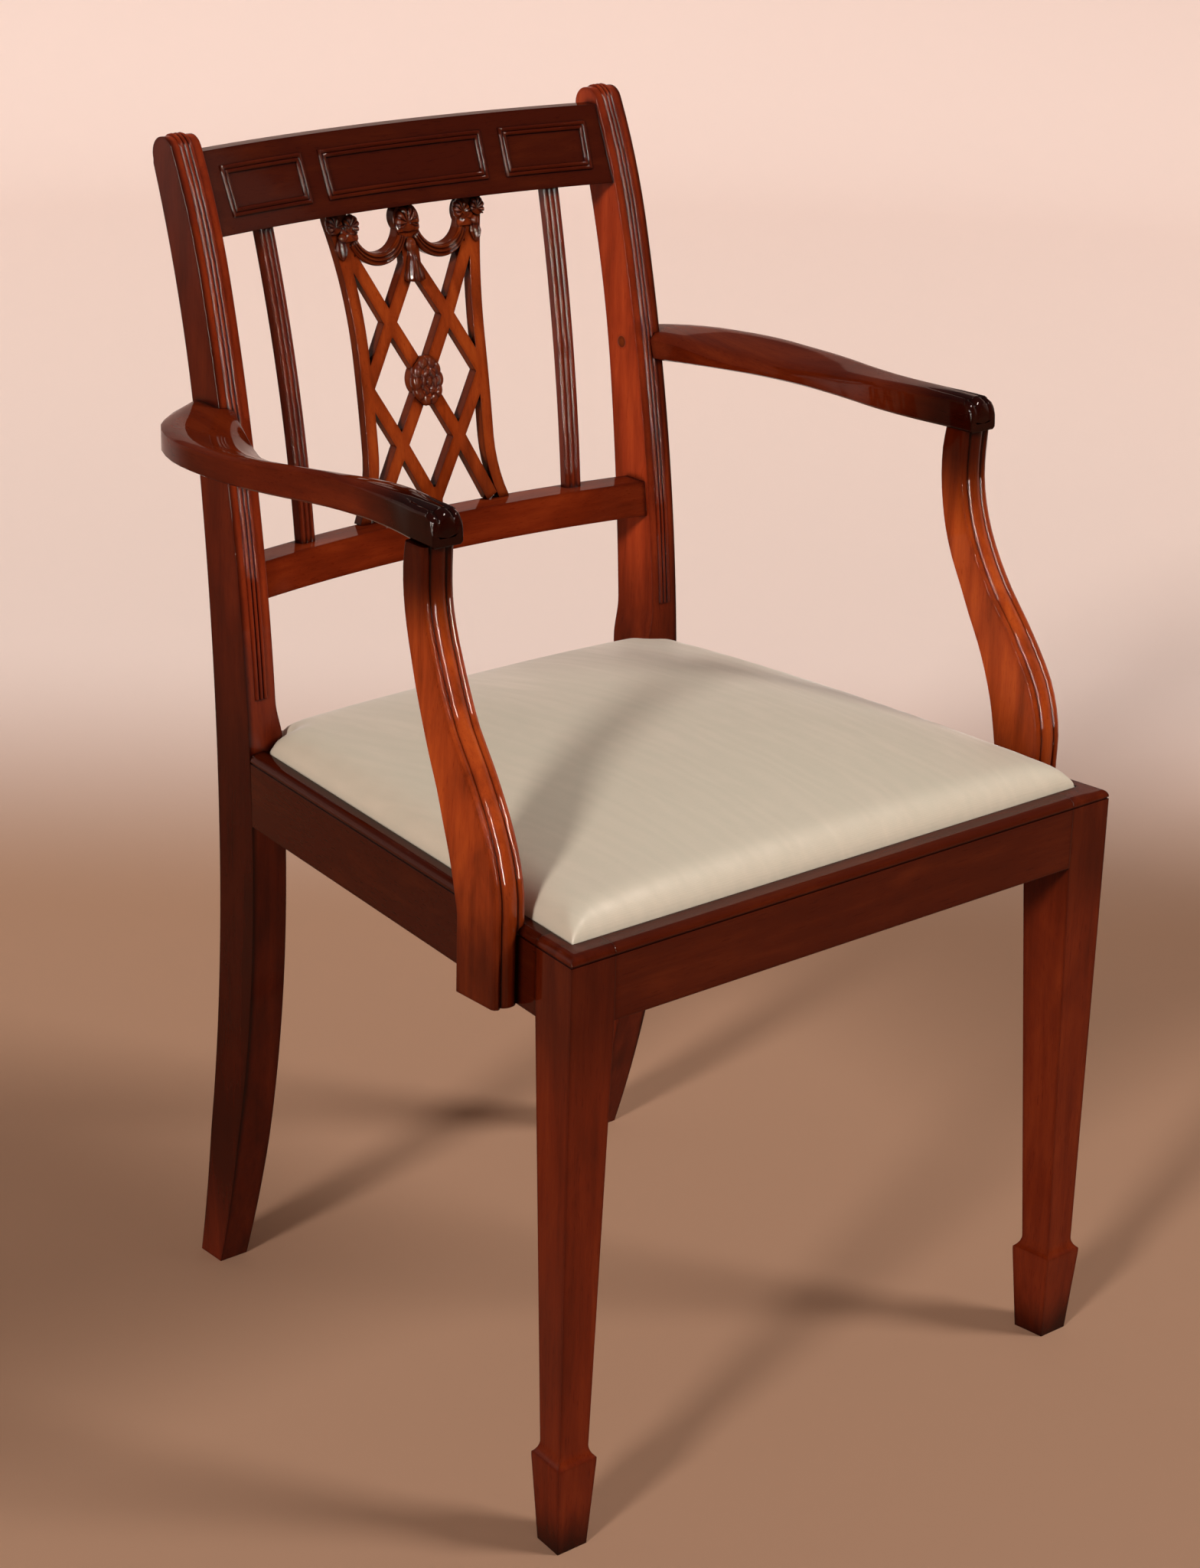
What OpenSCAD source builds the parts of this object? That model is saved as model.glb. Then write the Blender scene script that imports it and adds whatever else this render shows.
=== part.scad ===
// Open armchair with a pierced splat, reeded posts and a drop-in seat.
// Millimetres. X runs across the chair, +Y towards its back, +Z up, floor at Z = 0.
// Modules build the chair from its front face (Y = 0); place() then centres it.

/* [Seat frame] */
// Height of the seat rails' top edge above the floor
seat_h = 445; // [430:1:460]
// Width across the front legs at the seat
front_w = 506.6; // [490:0.1:524]
// Depth from the front rail's face to the rear posts' front faces
seat_d = 423; // [405:1:440]
// Thickness of the seat rails
rail_t = 26; // [24:0.5:29]
// Height of the front seat rail
front_rail_h = 53; // [48:0.5:58]
// Height of the side and back seat rails
side_rail_h = 56; // [50:0.5:62]
// Width of the front rail's lip, from its face to the drop-in seat
lip_front = 18; // [14:0.5:20]
// Width of the side and back rails' lip
lip_side = 13; // [11:0.5:15]
// Depth of the rebate that the drop-in seat rests in
rebate_h = 18; // [16:0.5:22]
// Radius of the ovolo along the rails' top edge
ovolo_r = 5.8; // [4:0.1:7]

/* [Front legs] */
// Width of a front leg across the chair, at the seat
leg_w = 37; // [35:0.5:40]
// Depth of a front leg, front to back, at the seat
leg_d = 41; // [38:0.5:44]
// Width of the leg's ankle, just above the spade foot
ankle_w = 24.7; // [22:0.1:28]
// Height of the ankle above the floor
ankle_h = 78; // [70:1:90]
// Width of the spade foot at its shoulder
spade_w = 33.5; // [31:0.5:37]
// Height of the spade foot's shoulder
spade_h = 66; // [58:1:69]
// Width of the spade foot on the floor
toe_w = 25.3; // [22:0.1:28]

/* [Rear posts] */
// Width across the two rear posts
back_w = 415.6; // [400:0.1:432]
// Width of a post below the seat rails' top edge
post_w = 30; // [28:0.5:33]
// Width of a post above the seat
stile_w = 25; // [23:0.5:27]
// Depth of a post, front to back, at its knee
knee_d = 43.5; // [40:0.5:48]
// Drop from the seat rails' top edge to the knee, the foremost point of the post
knee_drop = 91; // [75:1:105]
// Radius of the back leg's front sweep
leg_front_r = 1130; // [1000:10:1400]
// Radius of the back leg's rear sweep
leg_rear_r = 1580; // [1450:10:1900]
// Radius of the stile's front sweep
stile_front_r = 1690; // [1550:10:1900]
// Radius of the stile's rear sweep
stile_rear_r = 2350; // [2150:10:2600]
// Radius at which the stile's top rolls back, on its front face
roll_front_r = 480; // [420:10:600]
// Radius at which the stile's top rolls back, on its rear face
roll_rear_r = 900; // [800:10:1100]
// Width of each of the three reeds on a stile's front face
reed_w = 3.6; // [3:0.1:4.2]

/* [Back] */
// Gap from the seat rails' top edge up to the lower back rail
back_gap = 111.7; // [100:0.1:125]
// Height of the lower back rail
low_rail_h = 27; // [22:0.5:32]
// Thickness of the lower back rail
low_rail_t = 25; // [24:0.5:28]
// Clear height between the lower back rail and the crest rail
splat_h = 229.3; // [215:0.1:245]
// Height of the crest rail
crest_h = 57.2; // [50:0.1:64]
// Thickness of the crest rail at its bottom edge
crest_t = 21; // [20:0.5:24]
// Thickness of the crest rail at its top edge
crest_top_t = 13; // [10:0.5:16]
// How far the rails bow backwards at the middle
bow = 18; // [12:0.5:24]
// How far the stiles' front faces rise above the crest rail before their tops turn over
stile_over = 4; // [2:0.1:8]
// Setback of the back rails' ends behind the stiles' front faces
rail_set = 3; // [2:0.5:5]
// Width of a vertical bar
bar_w = 14; // [11:0.5:17]
// Thickness of a vertical bar at its edges
bar_t = 7; // [6:0.5:9]
// Distance from the chair's middle to the centre of a vertical bar
bar_x = 127; // [115:1:140]
// Half-width of the middle crest panel
mid_panel = 73.5; // [60:0.5:78]
// Height of the crest panels' bead frames
panel_h = 34; // [26:0.5:38]

/* [Splat] */
// Half-width of the splat at its waist
waist = 59.7; // [54:0.1:64]
// Thickness of the splat
splat_t = 8; // [7:0.5:9]
// Width of the splat's outer strips
strip_w = 9.7; // [8:0.1:12]
// Width of the crossed lattice bars
lattice_w = 10.5; // [8:0.1:12]
// Distance from the splat's middle to the lattice crossings
cross_x = 27; // [24:0.5:30]
// Half-width and half-height of the oval rosette
rosette = [14.4, 19]; // [10:0.1:24]

/* [Arms] */
// Height of the arms' underside above the seat rails' top edge
arm_rise = 237; // [225:1:250]
// Thickness of an arm at its front
arm_t = 24.5; // [21:0.5:28]
// Furthest reach of an arm from the chair's middle
arm_reach = 277.5; // [270:0.5:285]
// Distance from the front rail's face to the arm support's front face
support_y = 61; // [56:1:66]
// Depth of the arm support, front to back, where it is lapped on the side rail
support_d = 44; // [40:1:48]
// Width of the arm support across its moulded front
support_w = 26; // [24:0.5:28]
// Depth of the housing in the side rail that the arm support is let into
support_in = 4.2; // [2:0.1:5]

/* [Drop-in seat] */
// Gap between the drop-in seat and the rebate it sits in
seat_gap = 0.8; // [0.5:0.1:1.5]
// Width of the drop-in seat's frame members
slip_w = 48; // [40:1:60]
// Thickness of the drop-in seat's frame members
slip_t = 16; // [14:0.5:18]
// Height of the cushion's crown above the seat rails
crown = 38; // [28:1:46]
// Height of the cushion's edge above the seat rails
edge_rise = 14; // [9:0.5:18]
// Width of a webbing strap
web_w = 50; // [40:1:55]
// Thickness of the cover's silk and its lining
cover_t = 1.2; // [0.8:0.1:2]

/* [Joinery] */
// Clearance of a tenon or screw in its hole
fit = 0.1; // [0.05:0.01:0.2]
// Length of the front and side rails' tenons
tenon_l = 17; // [14:0.5:18]
// Thickness of the seat rails' tenons
tenon_t = 9; // [8:0.5:11]
// Radius of the dowel between an arm and its support
dowel_r = 5; // [4:0.5:6]
// Radius of a wood screw's shank
screw_r = 2; // [1.5:0.1:2.5]

/* [Hidden] */

mahogany = "#6e2a14";
dark_mahogany = "#4a1c10";
beech = "#c9a36b";
brass = "#b08d4a";
jute = "#a58a5c";
linen = "#c8b690";
silk = "#cdcdb8";

big = 1200;
fine = 720;
round_fn = 48;

// Curve helpers: rise of a circle of radius r at distance d from its tangent point
function sag(r, d) = r - sqrt(r * r - d * d);
function lerp(a, b, t) = a + (b - a) * t;
// Centre of the circle of radius r through p and q, on the side of larger first coordinate
function arc_centre(p, q, r) =
    let (m = (p + q) / 2, d = norm(q - p), n = [q[1] - p[1], p[0] - q[0]] / d)
    m + n * sqrt(r * r - d * d / 4);

// Rear post curves, in the chair's side view as [y, z]
knee_y = seat_d - 0.2;
knee_z = seat_h - knee_drop;
low_z = seat_h + back_gap;
low_top = low_z + low_rail_h;
crest_z = low_top + splat_h;
crest_top = crest_z + crest_h;
cap_z = crest_top + stile_over;
// The stile's round top is tangent to its front face at cap_p
front_roll_z = crest_z - 33;
rear_roll_z = crest_z - 153;
front_angle = asin((front_roll_z - knee_z) / stile_front_r);
rear_angle = asin((rear_roll_z - knee_z) / stile_rear_r);
front_knee_c = [knee_y + stile_front_r, knee_z];
rear_knee_c = [knee_y + knee_d + stile_rear_r, knee_z];
front_roll_c = front_knee_c
    - (stile_front_r - roll_front_r) * [cos(front_angle), -sin(front_angle)];
rear_roll_c = rear_knee_c
    - (stile_rear_r - roll_rear_r) * [cos(rear_angle), -sin(rear_angle)];
function on_arc(c, r, z) = c[0] - sqrt(r * r - pow(z - c[1], 2));
function post_front(z) =
    z < knee_z ? knee_y + sag(leg_front_r, knee_z - z)
    : z < front_roll_z ? on_arc(front_knee_c, stile_front_r, z)
    : on_arc(front_roll_c, roll_front_r, z);
function post_rear(z) =
    z < knee_z ? knee_y + knee_d + sag(leg_rear_r, knee_z - z)
    : z < rear_roll_z ? on_arc(rear_knee_c, stile_rear_r, z)
    : on_arc(rear_roll_c, roll_rear_r, z);

cap_p = [post_front(cap_z), cap_z];
cap_u = (front_roll_c - cap_p) / roll_front_r;
cap_r = (post_rear(cap_z) - post_front(cap_z)) / 2 * cap_u[0];
cap_c = cap_p + cap_r * cap_u;
post_back = cap_c[0] + cap_r;

// The chair stands with the middle of its depth at Y = 0
spade_over = (spade_w - ankle_w) / 2 - 0.65;
crest_back = post_front(crest_top) + rail_set - 1.5 + bow + crest_top_t;
mid_y = (max(post_back, crest_back) - spade_over) / 2;

post_x = back_w / 2;
post_in = post_x - post_w;
stile_in = post_x - stile_w;
splay = atan((front_w / 2 - post_x) / seat_d);
ledge_z = seat_h - rebate_h;
front_rail_z = seat_h - front_rail_h;
side_rail_z = seat_h - side_rail_h;
back_rail_y = post_front(seat_h) + 2;
// Distance across from the chair's middle to the side rail's outer face
function side_x(y) = front_w / 2 - y * tan(splay);

module place() { translate([0, -mid_y, 0]) children(); }
module both() { children(); mirror([1, 0, 0]) children(); }

// A [y, z] outline carried across the chair from x0 to x1
module across(x0, x1) {
    translate([x0, 0, 0]) rotate([90, 0, 90]) linear_extrude(x1 - x0) children();
}
// An [x, z] outline carried from y0 back to y1
module backwards(y0, y1) {
    translate([0, y1, 0]) rotate([90, 0, 0]) linear_extrude(y1 - y0) children();
}
// A [distance in from the side rail's face, z] outline carried along the right side rail
module along_side(y0, y1) {
    translate([front_w / 2, 0, 0]) rotate([0, 0, splay]) backwards(y0, y1)
        mirror([1, 0]) children();
}
// A [radius, x] outline turned about an axis that runs across the chair at c = [y, z],
// between two heights measured at radius r
module swing(c, r, z0, z1) {
    turn(c, asin((z0 - c[1]) / r), asin((z1 - c[1]) / r)) children();
}
// The same between two angles above the forward direction
module turn(c, a0, a1) {
    translate([0, c[0], c[1]]) rotate([90, 0, 0]) rotate([0, -90, 0]) rotate([0, 0, a0])
        rotate_extrude(angle = a1 - a0, $fn = fine) children();
}

function mean(v) = (v * [for (i = v) 1]) / len(v);
// Solid through sections that each hold the same number of points
module loft(rows) {
    n = len(rows);
    m = len(rows[0]);
    sides = [
        for (i = [0 : n - 2], j = [0 : m - 1])
            let (a = i * m + j, b = i * m + (j + 1) % m)
            each [[a, a + m, b + m], [a, b + m, b]]
    ];
    ends = [for (i = [0, n - 1]) [for (k = [0 : 2]) mean([for (p = rows[i]) p[k]])]];
    caps = [
        for (j = [0 : m - 1])
            let (a = j, b = (j + 1) % m, q = n * m, last = (n - 1) * m)
            each [[a, b, q], [last + b, last + a, q + 1]]
    ];
    polyhedron(concat([for (row = rows) each row], ends), concat(sides, caps));
}
// Smooth curve through values spaced evenly, t from 0 to len - 1
function spline(v, t) =
    let (i = min(floor(t), len(v) - 2), u = t - i,
         a = v[max(i - 1, 0)], b = v[i], c = v[i + 1], d = v[min(i + 2, len(v) - 1)])
    ((2 * b) + (c - a) * u + (2 * a - 5 * b + 4 * c - d) * u * u
        + (3 * b - a - 3 * c + d) * u * u * u) / 2;

// Seat rail section: ovolo and quirk on the outer top edge, rebate inside
module top_mould() {
    translate([0, seat_h - ovolo_r]) difference() {
        translate([-1, 0]) square([ovolo_r + 1, ovolo_r + 1]);
        translate([ovolo_r, 0]) circle(ovolo_r, $fn = round_fn);
    }
    translate([-1, seat_h - ovolo_r - 1.4]) square([1.8, 1.4]);
}
module rail_section(h, lip) {
    difference() {
        translate([0, seat_h - h]) square([rail_t, h]);
        top_mould();
        translate([lip, ledge_z]) square([rail_t, rebate_h + 1]);
    }
}

// Front leg: two tapering outlines that meet in a square section
cove_r = 12;
module leg_outline(top_w, taper_z, foot = 0) {
    mid = 0.65 + ankle_w / 2;
    turn = acos((ankle_w / 2 + cove_r - spade_w / 2) / cove_r);
    cove = [for (i = [0 : 8]) let (a = turn * i / 8)
        [ankle_w / 2 + cove_r * (1 - cos(a)), ankle_h + foot - cove_r * sin(a)]];
    difference() {
        polygon(concat(
            [[0, seat_h], [0, taper_z]],
            [for (c = cove) [mid - c[0], c[1]]],
            [[mid - spade_w / 2, spade_h + foot], [mid - toe_w / 2, 0],
             [mid + toe_w / 2, 0], [mid + spade_w / 2, spade_h + foot]],
            [for (i = [8 : -1 : 0]) [mid + cove[i][0], cove[i][1]]],
            [[top_w, taper_z], [top_w, seat_h]]
        ));
        top_mould();
    }
}
module front_leg_blank() {
    intersection() {
        across(front_w / 2 - 80, front_w / 2 + 20) leg_outline(leg_d, front_rail_z);
        along_side(-30, 90) leg_outline(leg_w, side_rail_z, 0.4);
    }
}
tenon_z = front_rail_z + 8;
tenon_h = ledge_z - 5 - tenon_z;
module front_tenon(grow = 0) {
    x0 = front_w / 2 - leg_w - 8;
    translate([x0, 8 - grow, tenon_z - grow])
        cube([tenon_l + 8 + grow, tenon_t + 2 * grow, tenon_h + 2 * grow]);
}
module side_tenon(grow = 0) {
    along_side(leg_d - tenon_l - grow, leg_d + 8)
        translate([12 - grow, tenon_z - grow]) square([tenon_t + 2 * grow, tenon_h + 2 * grow]);
}
module right_front_leg_shape() {
    color(mahogany) difference() {
        front_leg_blank();
        intersection() {
            translate([0, lip_front, ledge_z]) cube([front_w, big, rebate_h + 1]);
            along_side(-30, 90) translate([lip_side, ledge_z]) square([100, rebate_h + 1]);
        }
        front_tenon(fit);
        side_tenon(fit);
    }
}

// Rear post: side view along the curves, front view from a tapering outline
cap_angle = asin(-cap_u[1]);
function on_cap(angle, out = 0) = cap_c + (cap_r + out) * [-cos(angle), sin(angle)];
cap_turn = 180 + asin((cap_c[1] - 6 - rear_roll_c[1]) / roll_rear_r);
cap_end = on_cap(cap_turn);
module post_side() {
    steps = 60;
    polygon(concat(
        [for (i = [0 : steps]) let (z = lerp(0, cap_z, i / steps)) [post_front(z), z]],
        [for (i = [1 : 16]) on_cap(lerp(cap_angle, cap_turn, i / 16))],
        [for (i = [steps : -1 : 0]) let (z = lerp(0, cap_end[1] - 3, i / steps))
            [post_rear(z), z]]
    ));
}
module post_front_outline() {
    flare = [for (i = [0 : 8]) let (t = i / 8)
        [lerp(post_in, stile_in, (1 - cos(180 * t)) / 2), seat_h + 3 + 34 * t]];
    polygon(concat(
        [[post_x - 3.8, 0], [post_x, 115], [post_x, big], [stile_in, big]],
        [for (i = [8 : -1 : 0]) flare[i]],
        [[post_in, 110], [post_in + 1.6, 0]]
    ));
}
// Reeds on the stile's front, which run up and over its rolled top
reed_z = seat_h + 40;
reed_edge = post_x - stile_w / 2 + 1.5 * reed_w + 0.2;
function face_angle(z) =
    z < front_roll_z ? asin((z - knee_z) / stile_front_r)
    : asin((z - front_roll_c[1]) / roll_front_r);
reed_path = concat(
    [for (i = [0 : 20]) let (z = lerp(reed_z, cap_z, i / 20)) [post_front(z), z, face_angle(z)]],
    [for (i = [1 : 8]) let (a = lerp(cap_angle, 168, i / 8)) concat(on_cap(a), [a])]
);
module reed(x) {
    r = reed_w / 2 - 0.15;
    section = concat(
        [[-r, -0.8]], [for (a = [180 : -30 : 0]) [r * cos(a), 0.2 + 0.9 * r * sin(a)]], [[r, -0.8]]
    );
    loft([for (q = reed_path) [for (c = section)
        [x + c[0], q[0] - c[1] * cos(q[2]), q[1] + c[1] * sin(q[2])]]]);
}
module right_rear_post_blank() {
    intersection() {
        across(post_in - 5, post_x + 5) post_side();
        backwards(seat_d - 60, seat_d + 200) post_front_outline();
    }
    for (i = [-1 : 1]) reed(post_x - stile_w / 2 + i * reed_w);
}
module side_rear_tenon(grow = 0) {
    translate([post_in + 12.5 - grow, seat_d - 12, tenon_z - grow])
        cube([tenon_t + 2 * grow, 12 + tenon_l + grow, tenon_h + 2 * grow]);
}
back_tenon_l = 11;
module back_tenon(grow = 0) {
    translate([post_in - 5, back_rail_y + 7 - grow, tenon_z - grow])
        cube([back_tenon_l + 5 + grow, tenon_t + 2 * grow, tenon_h + 2 * grow]);
}
module right_rear_post_shape() {
    color(mahogany) difference() {
        right_rear_post_blank();
        side_rear_tenon(fit);
        back_tenon(fit);
        crest_tenon(fit);
        low_tenon(fit);
        arm_screw(fit);
        translate([stile_in, arm_screw_y, arm_screw_z]) rotate([0, 90, 0])
            cylinder(h = pellet_l, r = pellet_r, $fn = round_fn);
    }
}

// Seat rails
module front_seat_rail() {
    color(mahogany) place() difference() {
        union() {
            difference() {
                across(-front_w / 2, front_w / 2) rail_section(front_rail_h, lip_front);
                both() along_side(-30, 90) translate([-40, 0]) square([leg_w + 40, big]);
            }
            both() front_tenon();
        }
        both() block_screws(fit);
    }
}
module right_seat_rail_shape() {
    color(mahogany) difference() {
        union() {
            intersection() {
                along_side(0, seat_d + 60) rail_section(side_rail_h, lip_side);
                translate([0, leg_d, 0]) cube([front_w, big, big]);
                across(0, front_w) difference() {
                    square([big, big]);
                    translate(front_knee_c) circle(stile_front_r, $fn = fine);
                }
            }
            side_tenon();
            side_rear_tenon();
        }
        support_lap();
        block_screws(fit);
        support_screws(fit);
    }
}
module back_seat_rail() {
    color(mahogany) place() difference() {
        union() {
            translate([0, back_rail_y + rail_t, 0]) mirror([0, 1, 0])
                across(-post_in, post_in) difference() {
                    translate([0, side_rail_z]) square([rail_t, side_rail_h]);
                    translate([lip_side, ledge_z]) square([rail_t, rebate_h + 1]);
                }
            both() back_tenon();
        }
        both() block_screws(fit);
    }
}

// Bowed back rails, turned about an upright axis in front of the chair
half_back = stile_in;
bow_r = (half_back * half_back + bow * bow) / (2 * bow);
low_y = post_front(low_z) + rail_set;
low_lean = (post_front(low_top) - post_front(low_z)) / low_rail_h;
low_axis = low_y + bow - bow_r;
crest_y = post_front(crest_z) + rail_set - 1.5;
crest_lean = (post_front(crest_top) - post_front(crest_z)) / crest_h;
crest_axis = crest_y + bow - bow_r;
module bowed(axis_y) {
    translate([0, axis_y, 0]) rotate([0, 0, 78]) rotate_extrude(angle = 24, $fn = fine) children();
}
module low_rail_section() {
    translate([bow_r, low_z]) polygon([
        [0, 0], [low_lean * low_rail_h, low_rail_h], [low_rail_t, low_rail_h],
        [low_rail_t - 2, 0]
    ]);
}
module crest_section() {
    h = crest_h;
    front = crest_lean * h;
    translate([bow_r, crest_z]) difference() {
        polygon([
            [0, 0], [front, h], [front + crest_top_t, h], [crest_t + front * 0.5, h * 0.4],
            [crest_t, 0]
        ]);
        translate([front + crest_top_t - 3, h - 3]) difference() {
            square(4);
            circle(3, $fn = 32);
        }
    }
}
rail_tenon_l = 13;
module end_tenon(y, z, h, lean, grow) {
    translate([stile_in - 8, y, z]) rotate([-atan(lean), 0, 0])
        translate([0, -4 - grow, -h / 2 - grow])
            cube([8 + rail_tenon_l + grow, 8 + 2 * grow, h + 2 * grow]);
}
module crest_tenon(grow = 0) {
    end_tenon(crest_y + (crest_lean * crest_h + crest_t) / 2 - 1, crest_z + crest_h / 2,
              36, crest_lean, grow);
}
module low_tenon(grow = 0) {
    end_tenon(low_y + low_rail_t / 2, low_z + low_rail_h / 2, 15, low_lean, grow);
}
module between_stiles() {
    translate([-stile_in, 0, 0]) cube([2 * stile_in, big, big]);
}

// Panel frame on the crest rail's leaning face: two fine raised lines, each 2 mm wide
line_w = 2;
line_up = 1.4;
function crest_r(z) = bow_r + crest_lean * (z - crest_z);
module crest_wedge(x0, x1, inset, up) {
    z0 = crest_z + (crest_h - panel_h) / 2 + inset;
    z1 = crest_z + (crest_h + panel_h) / 2 - inset;
    a0 = asin((x0 + inset) / bow_r);
    a1 = asin((x1 - inset) / bow_r);
    translate([0, crest_axis, 0]) rotate([0, 0, 90 - a1]) rotate_extrude(angle = a1 - a0, $fn = fine)
        polygon([[crest_r(z0) - up, z0], [crest_r(z1) - up, z1],
                 [crest_r(z1) + 3, z1], [crest_r(z0) + 3, z0]]);
}
module panel_frame(x0, x1) {
    for (inset = [0, 1.5 * line_w]) difference() {
        crest_wedge(x0, x1, inset, line_up);
        crest_wedge(x0, x1, inset + line_w, line_up + 1);
    }
}
module crest_rail() {
    side_panel = [mid_panel + 17, stile_in - 17];
    color(mahogany) place() difference() {
        union() {
            intersection() {
                bowed(crest_axis) crest_section();
                between_stiles();
            }
            panel_frame(-mid_panel, mid_panel);
            both() panel_frame(side_panel[0], side_panel[1]);
            both() crest_tenon();
        }
        both() bar_tenons(fit);
        splat_tenons(fit);
    }
}
module lower_back_rail() {
    color(mahogany) place() difference() {
        union() {
            intersection() {
                bowed(low_axis) low_rail_section();
                between_stiles();
            }
            both() low_tenon();
        }
        both() bar_tenons(fit);
        splat_tenons(fit);
    }
}

// Everything between the back rails follows one upright sweep
sweep_r = 1320;
bow_at_bar = sag(bow_r, bar_x);
low_face = low_axis + bow_r + low_lean * low_rail_h;
crest_face = crest_axis + bow_r;
bar_set = [11.5, 7.5];
bar_bottom = [low_face - bow_at_bar + bar_set[0], low_top];
bar_top = [crest_face - bow_at_bar + bar_set[1], crest_z];
bar_c = arc_centre(bar_bottom, bar_top, sweep_r);
splat_set = [14.5, 10.5];
splat_bottom = [low_face + splat_set[0], low_top];
splat_top = [crest_face + splat_set[1], crest_z];
splat_c = arc_centre(splat_bottom, splat_top, sweep_r);
peg_l = 10;
peg_t = 6;

// Bar: three reeds on a flat strip, turned to face along the bow
module bar_blank() {
    turn = asin(bar_x / bow_r);
    intersection() {
        translate([bar_x, bar_bottom[0], 0]) rotate([0, 0, -turn])
            translate([0, -bar_bottom[0], 0])
                swing(bar_c, sweep_r, low_top - 6, crest_z + 6) {
                    translate([sweep_r - bar_t - 1, -bar_w / 2]) square([bar_t, bar_w]);
                    for (i = [-1 : 1])
                        translate([sweep_r - bar_w / 6, i * bar_w / 3])
                            circle(bar_w / 6, $fn = round_fn);
                }
        translate([0, 0, low_top]) cube([front_w, big, splat_h]);
    }
}
module bar_tenons(grow = 0) {
    for (end = [[bar_bottom, -peg_l], [bar_top, 0]])
        translate([bar_x - 4 - grow, end[0][0] + 1.2 - grow, end[0][1] + end[1] - grow])
            cube([8 + 2 * grow, peg_t - 1 + 2 * grow, peg_l + 2 * grow]);
}
module right_back_bar_shape() {
    color(mahogany) {
        bar_blank();
        bar_tenons();
    }
}

// Splat outline in the chair's front view: strips, crossed bars and the carved places
waist_low = low_top + 52;
waist_top = crest_z - 108;
cross_top = crest_z - 84.5;
cross_low = low_top + 53.3;
cross_mid = (cross_top + cross_low) / 2;
side_node = [waist - 5.5, cross_mid];
swag_z = crest_z - 36;
function strip_x(z) =
    z < waist_low ? waist + sag(120, waist_low - z)
    : z > waist_top ? waist + sag(420, min(z - waist_top, 104))
    : waist;
module bar_between(p, q) {
    d = q - p;
    translate(p) rotate(atan2(d[1], d[0])) translate([0, -lattice_w / 2])
        square([norm(d), lattice_w]);
}
module splat_half() {
    heights = [for (i = [0 : 24]) lerp(low_top, crest_z, i / 24)];
    polygon(concat(
        [for (z = heights) [strip_x(z), z]],
        [for (i = [24 : -1 : 0]) [strip_x(heights[i]) - strip_w, heights[i]]]
    ));
    upper = [cross_x, cross_top];
    lower = [cross_x, cross_low];
    bar_between([2 * cross_x, crest_z - 35], upper);
    bar_between(upper, [0, cross_mid]);
    bar_between([0, crest_z - 41], upper);
    bar_between(upper, side_node);
    bar_between(side_node, lower);
    bar_between(lower, [0, low_top + 6]);
    bar_between([0, cross_mid], lower);
    bar_between(lower, [2 * cross_x + 1, low_top + 2]);
}
module swag_ring(r0, r1) {
    intersection() {
        translate([cross_x + 2, crest_z - 13.5]) difference() {
            circle(r1, $fn = 96);
            circle(r0, $fn = 96);
        }
        translate([0, crest_z - 60]) square([60, 48]);
    }
}
module splat_outline() {
    intersection() {
        union() {
            for (side = [0, 1]) mirror([side, 0]) {
                splat_half();
                swag_ring(20, 29);
                translate([waist, crest_z - 14]) circle(12.5, $fn = 64);
                translate([waist + 4, crest_z - 26]) square([24, 26], center = true);
            }
            translate([-7, low_top]) square([14, 18]);
            translate([0, crest_z - 12]) circle(12, $fn = 64);
            translate([-8, crest_z - 46]) square([16, 40]);
            translate([0, cross_mid]) circle(rosette[0], $fn = 64);
        }
        translate([-big / 2, low_top]) square([big, splat_h]);
        polygon(concat(
            [for (i = [0 : 24]) let (z = lerp(low_top, crest_z, i / 24)) [strip_x(z), z]],
            [for (i = [24 : -1 : 0]) let (z = lerp(low_top, crest_z, i / 24)) [-strip_x(z), z]]
        ));
    }
}
module splat_slab() {
    across(-front_w / 2, front_w / 2) difference() {
        translate(splat_c) circle(sweep_r, $fn = fine);
        translate(splat_c) circle(sweep_r - splat_t, $fn = fine);
        translate([splat_c[0] - sweep_r / 2, 0]) square([2 * big, 2 * big]);
    }
}
function splat_y(z) = on_arc(splat_c, sweep_r, z);
// Carving, sunk 1 mm into the splat's face: a point at [x, z] standing proud by h
function carved(x, z, h) = [x, splat_y(z) - h, z];
rings = [[1, -1], [1, 0.35], [0.8, 0.8], [0.5, 1]];
// Shell with seven flutes that open upwards from its root
module shell_relief(x, z, w, h) {
    rim = [for (a = [-20 : 11 : 200]) let (lobe = pow(cos((a - 90) * 7 / 220 * 180), 2))
        [w * cos(a) * (0.9 + 0.1 * lobe), h * (sin(a) * (0.9 + 0.1 * lobe)), 0.6 + 0.4 * lobe]];
    loft([for (r = rings) [for (q = rim)
        carved(x + q[0] * r[0], z + q[1] * r[0], r[1] < 0 ? -1 : r[1] * 3 * q[2])]]);
}
// Oval rosette with eight petals
module rosette_relief() {
    loft([for (r = rings) [for (i = [0 : 31]) let (a = i * 11.25, lobe = pow(cos(a * 4), 2))
        carved(rosette[0] * cos(a) * r[0] * (0.92 + 0.08 * lobe),
               cross_mid + rosette[1] * sin(a) * r[0] * (0.92 + 0.08 * lobe),
               r[1] < 0 ? -1 : r[1] * 4.4 * (0.7 + 0.3 * lobe))]]);
}
// Swag of drapery that hangs between the splat's middle and its strips
module swag_relief() {
    c = [cross_x + 2, crest_z - 13.5];
    for (r = [[20.5, 24], [24.6, 28.6]]) loft([for (i = [0 : 14]) let (a = 205 + i * 130 / 14)
        [for (q = [[0, -1], [0.05, 0.6], [0.3, 1.9], [0.7, 1.9], [0.95, 0.6], [1, -1]])
            let (d = lerp(r[0], r[1], q[0])) carved(c[0] + d * cos(a), c[1] + d * sin(a), q[1])]]);
}
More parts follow.
